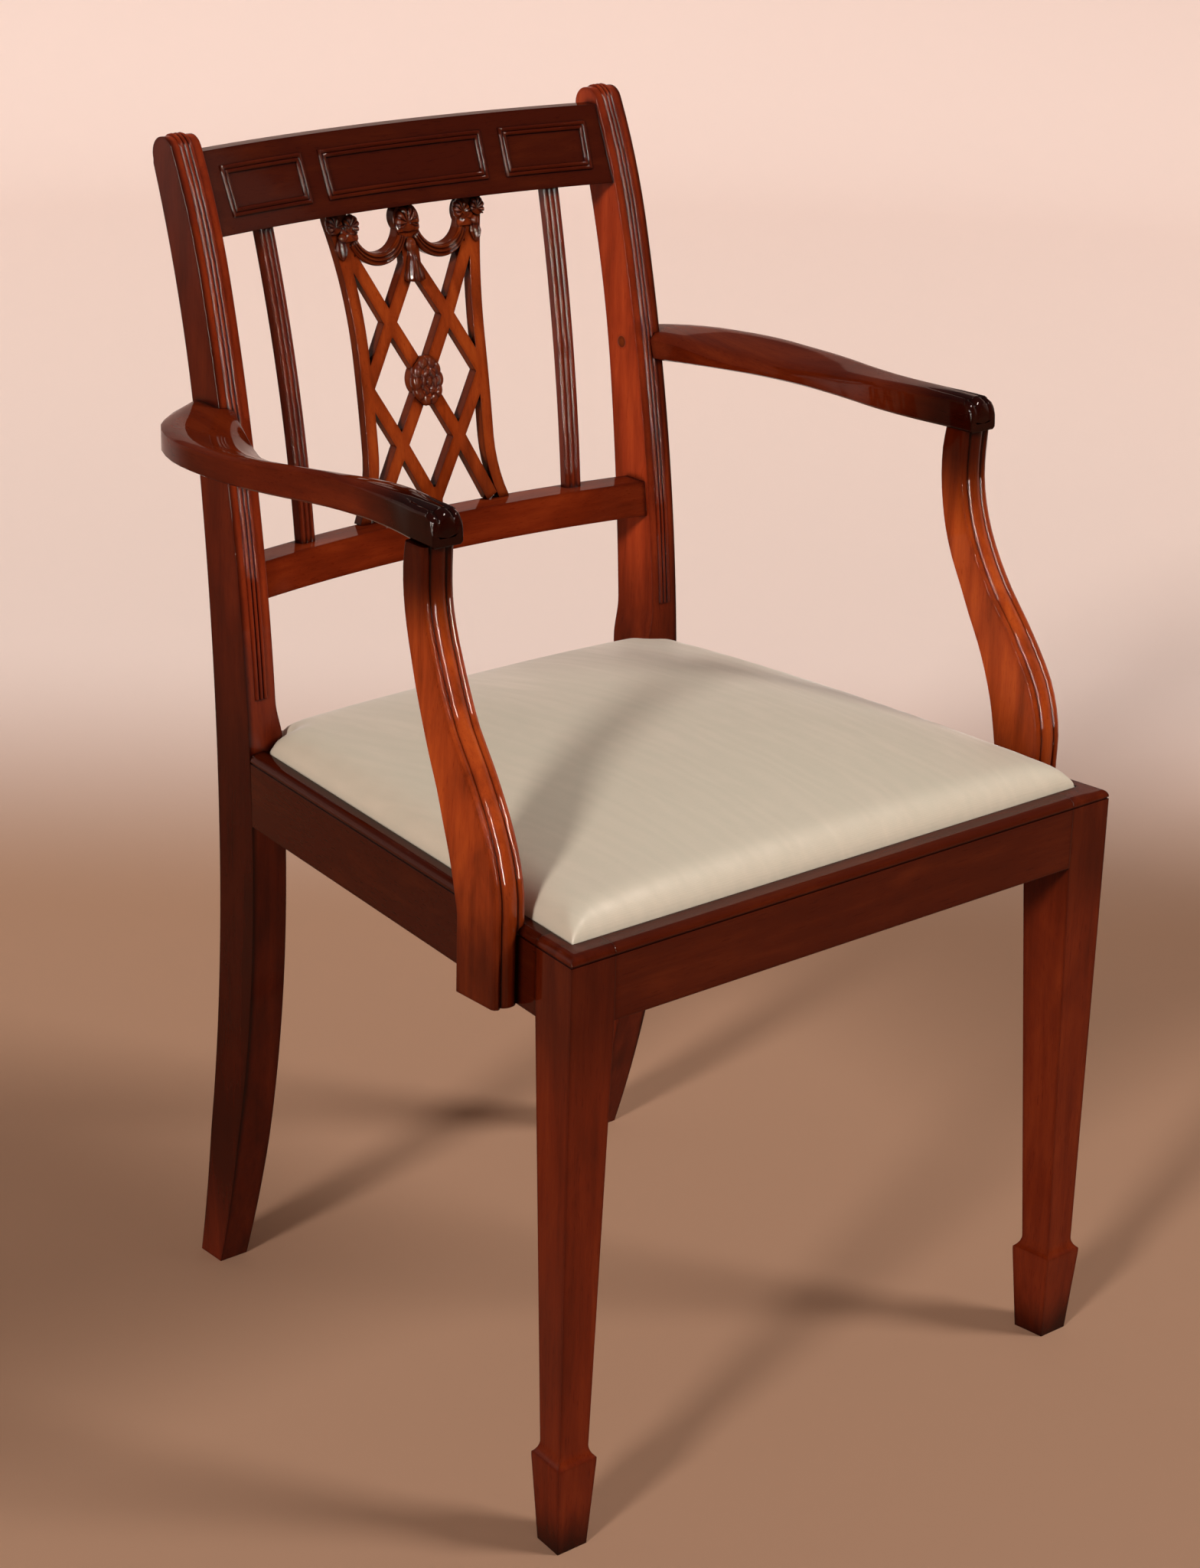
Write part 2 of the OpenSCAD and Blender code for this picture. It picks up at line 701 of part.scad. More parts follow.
// Tassel: heights about the knot, with the half-width at each
tassel = [
    [-27, 1], [-26, 4.2], [-20, 5], [-12, 4.4], [-4.6, 2.6], [-3, 3.6], [0.4, 4.8], [3.6, 3.4],
    [5, 1]
];
module tassel_relief() {
    loft([for (q = tassel) concat(
        [carved(-q[1], crest_z - 30 + q[0], -1)],
        [for (a = [180 : -30 : 0])
            carved(q[1] * cos(a), crest_z - 30 + q[0], 0.3 + 0.9 * q[1] * sin(a))],
        [carved(q[1], crest_z - 30 + q[0], -1)]
    )]);
}
module splat_tenons(grow = 0) {
    for (side = [0, 1]) mirror([side, 0, 0])
        for (end = [[splat_bottom, -peg_l], [splat_top, 0]])
            translate([waist - 1 - grow, end[0][0] + 1.6 - grow, end[0][1] + end[1] - grow])
                cube([8 + 2 * grow, peg_t - 1 + 2 * grow, peg_l + 2 * grow]);
}
module splat() {
    color(mahogany) place() {
        intersection() {
            splat_slab();
            backwards(seat_d - 60, seat_d + 200) splat_outline();
        }
        rosette_relief();
        both() shell_relief(waist - 5, crest_z - 19, 8.5, 12);
        shell_relief(0, crest_z - 17, 11, 13);
        both() swag_relief();
        tassel_relief();
        splat_tenons();
    }
}

// Moulded front of an arm support, as [place across, depth behind the crest]:
// a broad bead between quirks, with a small reed at each side
mould = [
    [-1, 4.6], [-0.92, 2.4], [-0.74, 1.1], [-0.58, 1.9], [-0.5, 3.1], [-0.42, 1.8],
    [-0.22, 0.4], [0, 0], [0.22, 0.4], [0.42, 1.8], [0.5, 3.1], [0.58, 1.9],
    [0.74, 1.1], [0.92, 2.4], [1, 4.6]
];
// Arm support: heights above the seat rail, with the centre and the two faces at each
arm_z = seat_h + arm_rise;
sup_t = [0, 20, 40, 60, 80, 100, 120, 140, 160, 180, 200, 220, 237] / 237;
sup_x = [253.4, 253.6, 253.8, 253.6, 252.6, 251.4, 250.2, 248.6, 247.6, 247.6, 247.8, 248, 248.2];
sup_front = [0, 0, 3.8, 11.3, 23.2, 37.3, 53, 65, 74.8, 82, 86, 86.4, 85.5];
sup_back = [0, 4, 9, 16, 24, 34, 43, 52, 59, 64, 67, 67.5, 65];
sup_x0 = side_x(support_y + support_d / 2) - support_in + support_w / 2;
function sup_section(t) =
    let (x = spline(sup_x, t) - 253.4 + sup_x0, y0 = support_y + spline(sup_front, t),
         y1 = support_y + support_d + spline(sup_back, t),
         z = seat_h + spline(sup_t, t) * arm_rise, w = support_w / 2)
    concat(
        [for (m = mould) [x + m[0] * w, y0 + m[1], z]],
        [[x + w, y1 - 2.5, z], [x + w - 2.5, y1, z], [x - w + 2.5, y1, z], [x - w, y1 - 2.5, z]]
    );
module lap_outline() {
    polygon([for (p = sup_section(0)) [p[0], p[1]]]);
}
lap_bottom = side_rail_z;
module support_lap() {
    translate([0, 0, lap_bottom - 1]) linear_extrude(side_rail_h + 2) lap_outline();
}
module right_arm_support_shape() {
    color(mahogany) difference() {
        union() {
            loft([for (i = [0 : 2 * len(sup_t) - 2]) sup_section(i / 2)]);
            translate([0, 0, lap_bottom]) linear_extrude(side_rail_h) lap_outline();
        }
        arm_dowel(fit);
        support_screws(fit);
    }
}
dowel_y = support_y + 97;
dowel_x = sup_x0 - 5.2;
module arm_dowel(grow = 0) {
    translate([dowel_x, dowel_y, arm_z - 18 - grow])
        cylinder(h = 33 + 2 * grow, r = dowel_r + grow, $fn = round_fn);
}

// Arm: plan of the inner and outer edges from the knuckle back to the post
arm_in = [
    [233.5, 142], [232, 165], [228.5, 188], [226, 212], [226.6, 238], [230, 264],
    [233.4, 290], [234.6, 318], [233, 345], [228, 372], [219.5, 398], [211, 420], [203, 440],
    [190, 466]
];
arm_out = [
    [258.5, 142], [257.5, 165], [254.4, 188], [253.2, 212], [253.8, 238], [257.4, 268],
    [264.5, 298], [271.5, 328], [276, 358], [277.5, 388], [274, 420], [261.5, 452],
    [240, 475], [206, 495]
];
arm_in_top = [0, 0.2, -0.4, -1.8, -4.4, -8, -11.8, -15, -18, -19, -17, -13, -9, -7];
arm_out_top = [0, 0, 0, -0.3, -0.6, -1, -2, -3.6, -5, -5.6, -6.5, -7, -7.2, -7.2];
arm_under = [0, 0, 0, 0, -0.5, -1.3, -2.4, -3.3, -4, -4.4, -4.6, -4.6, -4.6, -4.6];
nose = [[0, 15.5], [0.8, 9.5], [2.6, 5.4], [5.5, 2.4], [10, 0.6]];
// Top of the arm across its width: moulded at the knuckle, a soft dome further back
function dome(s) = 4.6 * pow(abs(s), 6) + 0.9 * s * s;
// Places along the arm: its rounded nose, then even steps back to the post
arm_steps = concat([for (n = nose) n[0] / 23], [for (i = [1 : 30]) i * 13 / 30]);
function arm_row(k) =
    let (t = arm_steps[k],
         a = spline(arm_in, t), b = spline(arm_out, t),
         grow = (arm_reach - 277.5) * pow(max(0, sin(180 * min(t / 13 * 0.72, 1))), 2),
         drop = k < len(nose) ? nose[k][1] : 0,
         za = arm_z + arm_t + spline(arm_in_top, t) - drop,
         zb = arm_z + arm_t + spline(arm_out_top, t) - drop,
         under = arm_z + spline(arm_under, t),
         fade = max(0, 1 - t / 2.2),
         dx = lerp(sup_x0 - 253.2, post_x - 207.8, t / 13) + grow,
         dy = lerp(support_y - 61, post_front(arm_z) - 454.9, t / 13))
    concat(
        [for (m = mould) let (u = (m[0] + 1) / 2)
            [lerp(a[0], b[0], u) + dx, lerp(a[1], b[1], u) + dy,
             max(lerp(za, zb, u) - lerp(dome(m[0]), m[1], fade), under + 2)]],
        [for (c = [[1, 1.8], [0.86, 0], [-0.86, 0], [-1, 1.8]]) let (u = (c[0] + 1) / 2)
            [lerp(a[0], b[0], u) + dx, lerp(a[1], b[1], u) + dy, under + c[1]]]
    );
module right_arm_shape() {
    color(mahogany) difference() {
        loft([for (k = [0 : len(arm_steps) - 1]) arm_row(k)]);
        across(0, post_x) translate(front_knee_c) circle(stile_front_r, $fn = fine);
        across(0, reed_edge) translate(front_knee_c)
            circle(stile_front_r + reed_w / 2 + 0.2, $fn = fine);
        arm_dowel(fit);
        arm_screw(fit);
    }
}

// Screws point along their local Z from the head; as holes they have a way in behind the head
module wood_screw(l, grow = 0) {
    cylinder(h = l + grow, r = screw_r + grow, $fn = round_fn);
    cylinder(h = 2 * screw_r, r1 = 2 * screw_r + grow, r2 = screw_r + grow, $fn = round_fn);
    if (grow > 0) translate([0, 0, -30]) cylinder(h = 30, r = 2 * screw_r + grow, $fn = round_fn);
}
// A level screw with its head at p, pointing at an angle in plan
module level_screw(p, z, angle, l, grow) {
    translate([p[0], p[1], z]) rotate([0, 0, angle]) rotate([0, 90, 0]) wood_screw(l, grow);
}
arm_screw_z = arm_z + 8;
arm_screw_y = post_front(arm_screw_z) + 18;
pellet_r = 4.5;
pellet_l = 5;
module arm_screw(grow = 0) {
    level_screw([stile_in + pellet_l + 0.5, arm_screw_y], arm_screw_z, 0, 38, grow);
}
module arm_screws() { color(brass) place() both() arm_screw(); }
module arm_screw_pellets() {
    color(dark_mahogany) place() both()
        translate([stile_in, arm_screw_y, arm_screw_z]) rotate([0, 90, 0])
            cylinder(h = pellet_l, r = pellet_r, $fn = round_fn);
}
module arm_dowels() { color(beech) place() both() arm_dowel(); }

// Corner blocks: glued and screwed across the frame's four inner corners
block_h = 24;
block_z = front_rail_z + 4;
block_x = 150;
block_y = 80;
rear_block_x = 118;
rear_block_y = seat_d - 62;
// Inner face of the side rail
function side_in(y) = side_x(y) - rail_t / cos(splay);
module corner_block_pair() {
    difference() {
        union() {
            translate([0, 0, block_z]) linear_extrude(block_h) polygon([
                [block_x, rail_t], [side_in(0) + 5, rail_t], [side_in(block_y) + 5, block_y],
                [side_in(block_y), block_y]
            ]);
            translate([0, 0, block_z]) linear_extrude(block_h) polygon([
                [rear_block_x, back_rail_y], [side_in(rear_block_y), rear_block_y],
                [side_in(rear_block_y) + 5, rear_block_y], [side_in(back_rail_y) + 5, back_rail_y]
            ]);
        }
        along_side(-30, seat_d + 60) square([rail_t, big]);
        intersection() {
            across(0, front_w) square([leg_d, big]);
            along_side(-30, 90) square([leg_w, big]);
        }
        translate([post_in, 0, 0]) across(0, 60) translate(front_knee_c)
            circle(stile_front_r, $fn = fine);
        block_screws(fit);
    }
}
module corner_blocks() { color(beech) place() both() corner_block_pair(); }
module block_screws(grow = 0) {
    z = block_z + block_h / 2;
    level_screw([block_x + 26, rail_t + 14], z, -90, 30, grow);
    level_screw([side_in(62) - 18, 62], z, splay, 34, grow);
    level_screw([rear_block_x + 22, back_rail_y - 14], z, 90, 30, grow);
    level_screw([side_in(rear_block_y + 16) - 10, rear_block_y + 16], z, splay, 26, grow);
}
module corner_block_screws() { color(brass) place() both() block_screws(); }
module support_screws(grow = 0) {
    y = support_y + 30;
    for (z = [side_rail_z + 12, ledge_z - 8])
        level_screw([side_in(y) + 0.3, y], z, splay, 37, grow);
}
module arm_support_screws() { color(brass) place() both() support_screws(); }

// Drop-in seat. Its plan fits the rebate and is notched round the rear posts.
slip_front = lip_front + seat_gap;
slip_corner = post_front(ledge_z) - seat_gap;
slip_rear = back_rail_y + rail_t - lip_side - seat_gap;
slip_in = post_in - seat_gap;
function slip_x(y) = side_x(y) - lip_side / cos(splay) - seat_gap;
cover_z = ledge_z + 0.3;
slip_z = cover_z + cover_t;
slip_top = slip_z + slip_t;
web_t = 1;
hessian_t = 0.8;
// Width of the cover that is turned in under the frame
turn_in = 25;
frame_in = cover_t + 0.6;
side_y0 = slip_front + frame_in + slip_w;
side_y1 = slip_corner - slip_w + 10;
module slip_plan(d) {
    half = [
        [slip_x(slip_front) - d, slip_front + d],
        [slip_x(slip_corner) - d, slip_corner - d],
        [slip_in - d, slip_corner - d],
        [slip_in - d, slip_rear - d]
    ];
    polygon(concat(half, [for (i = [3 : -1 : 0]) [-half[i][0], half[i][1]]]));
}
module slip_slice(y0, y1) {
    translate([0, 0, slip_z]) linear_extrude(slip_t) intersection() {
        slip_plan(frame_in);
        translate([-big / 2, y0]) square([big, y1 - y0]);
    }
}
module slip_dowel_set(grow = 0) {
    for (y = [side_y0, side_y1], k = [14, 34])
        translate([slip_x(y) - k, y, slip_z + slip_t / 2]) rotate([90, 0, 0])
            cylinder(h = 44 + 2 * grow, r = 3.5 + grow, center = true, $fn = round_fn);
}
module slip_front_member() {
    color(beech) place() difference() {
        slip_slice(0, side_y0);
        both() slip_dowel_set(fit);
    }
}
module slip_back_member() {
    color(beech) place() difference() {
        slip_slice(side_y1, big);
        both() slip_dowel_set(fit);
    }
}
module slip_side_shape() {
    color(beech) difference() {
        translate([0, 0, slip_z]) linear_extrude(slip_t) polygon([
            [slip_x(side_y0) - slip_w, side_y0], [slip_x(side_y0) - frame_in, side_y0],
            [slip_x(side_y1) - frame_in, side_y1], [slip_x(side_y1) - slip_w, side_y1]
        ]);
        slip_dowel_set(fit);
    }
}
module slip_right_member() { place() slip_side_shape(); }
module slip_left_member() { place() mirror([1, 0, 0]) slip_side_shape(); }
module slip_dowels() { color(beech) place() both() slip_dowel_set(); }

// Webbing, tacked on top of the frame, then hessian
web_step = 100;
module webbing_lengthwise() {
    color(jute) place() for (i = [-1 : 1])
        translate([i * web_step - web_w / 2, slip_front + 14, slip_top])
            cube([web_w, slip_rear - slip_front - 28, web_t]);
}
module webbing_crosswise() {
    mid = (slip_front + slip_corner) / 2;
    color(jute) place() for (i = [-1 : 1]) {
        y = mid + i * web_step;
        reach = slip_x(y + web_w / 2) - 14;
        translate([-reach, y - web_w / 2, slip_top + web_t]) cube([2 * reach, web_w, web_t]);
    }
}
module hessian() {
    color(linen) place() translate([0, 0, slip_top + 2 * web_t]) linear_extrude(hessian_t)
        slip_plan(frame_in + 3);
}
module bottom_cloth() {
    color("#2b2724") place() translate([0, 0, slip_z - 0.8]) linear_extrude(0.8) slip_plan(turn_in + 0.4);
}

// Cushion: its top rises quickly at the edge, then slowly to the crown
edge_round = 16;
edge_lines = [0, 1.2, 4.5, 9.5, edge_round];
edge_n = len(edge_lines) - 1;
grid = 2 * edge_n + 10;
// Distance of grid line i from one edge of a stretch that is w long
function grid_at(i, w) =
    i <= edge_n ? edge_lines[i]
    : i >= grid - edge_n ? w - edge_lines[grid - i]
    : lerp(edge_round, w - edge_round, (i - edge_n) / (grid - 2 * edge_n));
function rim(d) = sqrt(max(0, 1 - pow(1 - min(d / edge_round, 1), 2)));
function cushion_point(i, j, d, inset) =
    let (e = d + inset, long = slip_rear - slip_front - 2 * e,
         y = slip_front + e + grid_at(j, long), half = slip_x(y) - e,
         x = grid_at(i, 2 * half) - half, u = abs(x) / half,
         v = abs(2 * (y - slip_front - e) / long - 1),
         gap = min(half - abs(x), y - slip_front - e, slip_rear - e - y) + inset,
         swell = (1 - pow(u, 2.2)) * (1 - pow(v, 2.2)))
    [x, y, seat_h - 1 - d + (edge_rise + 1) * rim(gap) + (crown - edge_rise) * swell];
module cushion(d, z0, inset = 0) {
    n = grid + 1;
    top = [for (j = [0 : grid], i = [0 : grid]) cushion_point(i, j, d, inset)];
    low = [for (p = top) [p[0], p[1], z0]];
    cells = [for (j = [0 : grid - 1], i = [0 : grid - 1]) j * n + i];
    edge = concat(
        [for (i = [0 : grid - 1]) i], [for (j = [0 : grid - 1]) j * n + grid],
        [for (i = [grid : -1 : 1]) grid * n + i], [for (j = [grid : -1 : 1]) j * n]
    );
    m = len(edge);
    rim_low = [for (e = edge) low[e]];
    points = concat(top, rim_low, [[0, (slip_front + slip_rear) / 2, z0]]);
    polyhedron(points, concat(
        [for (c = cells) each [[c, c + n + 1, c + 1], [c, c + n, c + n + 1]]],
        [for (k = [0 : m - 1]) let (a = edge[k], b = edge[(k + 1) % m], q = n * n)
            each [[a, b, q + (k + 1) % m], [a, q + (k + 1) % m, q + k]]],
        [for (k = [0 : m - 1]) [n * n + k, n * n + (k + 1) % m, n * n + m]]
    ));
}
module post_notches(d) {
    both() translate([slip_in - d, slip_corner - d, ledge_z]) cube([60, 60, 100]);
}
module seat_padding() {
    color(linen) place() difference() {
        cushion(cover_t + 0.6, slip_top + 2 * web_t + hessian_t, 1.6);
        post_notches(cover_t + 1);
    }
}
module seat_cover() {
    color(silk) place() difference() {
        cushion(0, cover_z);
        difference() {
            cushion(cover_t, slip_z);
            post_notches(cover_t);
        }
        translate([0, 0, cover_z - 1]) linear_extrude(cover_t + 1.5) slip_plan(turn_in);
        post_notches(0);
    }
}

module right_arm() { place() right_arm_shape(); }
module left_arm() { place() mirror([1, 0, 0]) right_arm_shape(); }
module right_front_leg() { place() right_front_leg_shape(); }
module left_front_leg() { place() mirror([1, 0, 0]) right_front_leg_shape(); }
module right_rear_post() { place() right_rear_post_shape(); }
module left_rear_post() { place() mirror([1, 0, 0]) right_rear_post_shape(); }
module right_seat_rail() { place() right_seat_rail_shape(); }
module left_seat_rail() { place() mirror([1, 0, 0]) right_seat_rail_shape(); }
module right_back_bar() { place() right_back_bar_shape(); }
module left_back_bar() { place() mirror([1, 0, 0]) right_back_bar_shape(); }
module right_arm_support() { place() right_arm_support_shape(); }
module left_arm_support() { place() mirror([1, 0, 0]) right_arm_support_shape(); }

left_front_leg();
right_front_leg();
left_rear_post();
right_rear_post();
front_seat_rail();
back_seat_rail();
left_seat_rail();
right_seat_rail();
crest_rail();
lower_back_rail();
splat();
left_back_bar();
right_back_bar();
left_arm();
right_arm();
left_arm_support();
right_arm_support();
corner_blocks();
corner_block_screws();
arm_support_screws();
arm_dowels();
arm_screws();
arm_screw_pellets();
slip_front_member();
slip_back_member();
slip_left_member();
slip_right_member();
slip_dowels();
webbing_lengthwise();
webbing_crosswise();
hessian();
seat_padding();
seat_cover();
bottom_cloth();
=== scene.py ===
"""Looks of an open armchair in French-polished mahogany with a silk drop-in seat."""

import logging
import math
from collections.abc import Callable, Sequence
from dataclasses import dataclass
from enum import Enum

import bpy
from mathutils import Matrix, Vector


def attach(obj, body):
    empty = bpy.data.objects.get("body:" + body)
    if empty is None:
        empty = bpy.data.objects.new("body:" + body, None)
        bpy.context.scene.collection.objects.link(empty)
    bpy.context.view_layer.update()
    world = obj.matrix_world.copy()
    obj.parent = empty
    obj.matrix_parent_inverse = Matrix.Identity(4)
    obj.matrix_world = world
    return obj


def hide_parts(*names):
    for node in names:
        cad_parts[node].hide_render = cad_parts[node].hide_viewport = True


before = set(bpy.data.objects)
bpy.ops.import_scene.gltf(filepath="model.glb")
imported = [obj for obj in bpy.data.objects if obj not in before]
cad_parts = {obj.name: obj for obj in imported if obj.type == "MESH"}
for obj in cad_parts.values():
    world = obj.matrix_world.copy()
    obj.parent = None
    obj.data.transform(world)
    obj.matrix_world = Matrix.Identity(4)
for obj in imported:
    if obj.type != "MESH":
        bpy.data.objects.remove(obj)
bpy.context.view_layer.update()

LOG = logging.getLogger("armchair")
MM = 0.001
MID_Y = 269.792  # the chair's middle, back from its front rail, in millimetres

Point = tuple[float, float, float]
Colour = tuple[float, float, float]
Face = tuple[int, ...]
Relief = tuple[list[Vector], list[Face]]
Socket = bpy.types.NodeSocket


def at(x: float, y: float, z: float) -> Vector:
    """Turns chair millimetres, with y from the front rail's face, into the model's metres."""
    return Vector((x, y - MID_Y, z)) * MM


def lerp(a: float, b: float, t: float) -> float:
    """Value a share t of the way from a to b."""
    return a + (b - a) * t


def smooth(t: float) -> float:
    """Eased step from 0 to 1."""
    t = min(max(t, 0.0), 1.0)
    return t * t * (3 - 2 * t)


class Body(str, Enum):
    """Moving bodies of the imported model."""

    FRAME = "frame"
    SEAT = "drop_in_seat"


class Slot(str, Enum):
    """Material slots that the record names; none of the pieces made here is given one."""

    MAHOGANY = "mahogany"
    SILK = "silk"
    BLACK_CLOTH = "black_cloth"


class Grain(Enum):
    """Direction that a board's grain runs in, as the turn that lays it along Z."""

    ACROSS = (0.0, math.pi / 2, 0.0)
    DEEP = (math.pi / 2, 0.0, 0.0)
    UPRIGHT = (0.0, 0.0, 0.0)


class Axis(Enum):
    """Direction that a stain fades along."""

    ACROSS = 0
    BACK = 1
    UP = 2


class Graph:
    """A material's node tree, with short calls that add and join nodes."""

    def __init__(self, name: str) -> None:
        """Starts a material with a Principled shader.

        Args:
            name: The material's name.
        """
        self.material = bpy.data.materials.new(name)
        self.material.use_nodes = True
        self.tree = self.material.node_tree
        self.shader = self.tree.nodes["Principled BSDF"]

    def node(self, kind: str, **values: object) -> bpy.types.Node:
        """Adds a node and sets its properties.

        Args:
            kind: The node's type, without its ShaderNode prefix.
            **values: Properties of the node.

        Returns:
            The new node.
        """
        made = self.tree.nodes.new("ShaderNode" + kind)
        for key, value in values.items():
            setattr(made, key, value)
        return made

    def feed(self, node: bpy.types.Node, **inputs: object) -> bpy.types.Node:
        """Sets or links a node's inputs.

        Args:
            node: The node.
            **inputs: A value or an output socket for each input. The key is the input's name
                with _ for a space, or _ and its number.

        Returns:
            The same node.
        """
        for key, value in inputs.items():
            name = key.replace("_", " ")
            socket = node.inputs[int(key[1:])] if key[1:].isdigit() else node.inputs[name]
            if isinstance(value, Socket):
                self.tree.links.new(value, socket)
            else:
                socket.default_value = value
        return node

    def place(
        self, turn: Point = (0.0, 0.0, 0.0), scale: Point = (1.0, 1.0, 1.0),
    ) -> Socket:
        """Object coordinates, turned and stretched.

        Args:
            turn: Rotation in radians.
            scale: Factor along each turned axis.

        Returns:
            The mapped coordinates.
        """
        coords = self.node("TexCoord").outputs["Object"]
        turned = self.feed(
            self.node("Mapping", vector_type="TEXTURE"), Vector=coords, Rotation=turn
        )
        return self.feed(self.node("Mapping"), Vector=turned.outputs[0], Scale=scale).outputs[0]

    def noise(
        self, where: Socket, scale: float, detail: float = 4.0, roughness: float = 0.55,
        distortion: float = 0.0,
    ) -> Socket:
        """Noise value at the coordinates given.

        Args:
            where: Coordinates.
            scale: Noise scale.
            detail: Octaves.
            roughness: Weight of the finer octaves.
            distortion: How far the noise warps itself.

        Returns:
            The noise factor.
        """
        return self.feed(
            self.node("TexNoise"), Vector=where, Scale=scale, Detail=detail,
            Roughness=roughness, Distortion=distortion,
        ).outputs[0]

    def bands(self, where: Socket, direction: str, scale: float, **inputs: float) -> Socket:
        """Wavy bands over the coordinates given.

        Args:
            where: Coordinates.
            direction: Axis along which the bands follow each other.
            scale: Wave scale.
            **inputs: Other inputs of the wave, by name with _ for a space.

        Returns:
            The wave factor.
        """
        made = self.node("TexWave", wave_type="BANDS", bands_direction=direction)
        return self.feed(made, Vector=where, Scale=scale, **inputs).outputs[1]

    def ramp(self, value: Socket, stops: Sequence[tuple[float, Colour]]) -> Socket:
        """Colour ramp over a value.

        Args:
            value: The factor.
            stops: Position and colour of each stop.

        Returns:
            The colour.
        """
        made = self.node("ValToRGB")
        bar = made.color_ramp
        while len(bar.elements) < len(stops):
            bar.elements.new(0.5)
        for element, (place, colour) in zip(bar.elements, stops):
            element.position = place
            element.color = (*colour, 1.0)
        return self.feed(made, Fac=value).outputs[0]

    def sums(self, *terms: tuple[Socket, float]) -> Socket:
        """Weighted sum of values.

        Args:
            *terms: Each value with its weight.

        Returns:
            The sum.
        """
        total: Socket | float = 0.0
        for value, weight in terms:
            total = self.feed(
                self.node("Math", operation="MULTIPLY_ADD"), _0=value, _1=weight, _2=total
            ).outputs[0]
        return total

    def size(self, value: Socket) -> Socket:
        """A value without its sign."""
        return self.feed(self.node("Math", operation="ABSOLUTE"), _0=value).outputs[0]

    def span(
        self, value: Socket, low: float, high: float,
        out_low: float = 0.0, out_high: float = 1.0,
    ) -> Socket:
        """Maps low..high to out_low..out_high with eased ends.

        Args:
            value: The value.
            low: Value that gives out_low.
            high: Value that gives out_high.
            out_low: Result at low.
            out_high: Result at high.

        Returns:
            The mapped value.
        """
        made = self.node("MapRange", interpolation_type="SMOOTHSTEP")
        return self.feed(
            made, Value=value, _1=low, _2=high, _3=out_low, _4=out_high
        ).outputs[0]

    def darken(self, colour: Socket, amount: Socket, shade: Colour) -> Socket:
        """Multiplies a colour by a shade where amount is 1.

        Args:
            colour: The colour.
            amount: How much of the shade shows.
            shade: The multiplier.

        Returns:
            The darkened colour.
        """
        made = self.node("Mix", data_type="RGBA", blend_type="MULTIPLY")
        return self.feed(made, _0=amount, _6=colour, _7=(*shade, 1.0)).outputs[2]

    def relief(
        self, height: Socket, distance: float, strength: float, normal: Socket | None = None,
    ) -> Socket:
        """Bump from a height.

        Args:
            height: The height value.
            distance: Depth of the bump in metres.
            strength: Share of the bump that shows.
            normal: Normal that the bump starts from.

        Returns:
            The new normal.
        """
        made = self.feed(
            self.node("Bump"), Height=height, Distance=distance, Strength=strength
        )
        if normal is not None:
            self.feed(made, Normal=normal)
        return made.outputs[0]


@dataclass(frozen=True)
class DarkBand:
    """A band along one axis where the colour is darker.

    Attributes:
        axis: Direction that it fades along.
        clear: Coordinate where it is gone, in metres.
        dark: Coordinate where it is darkest.
        mirrored: Whether it is the same on both sides of the chair's middle.
        wander: How far its edge wanders.
        depth: Share of the shade at its darkest.
    """

    axis: Axis
    clear: float
    dark: float
    mirrored: bool = False
    wander: float = 0.03
    depth: float = 1.0


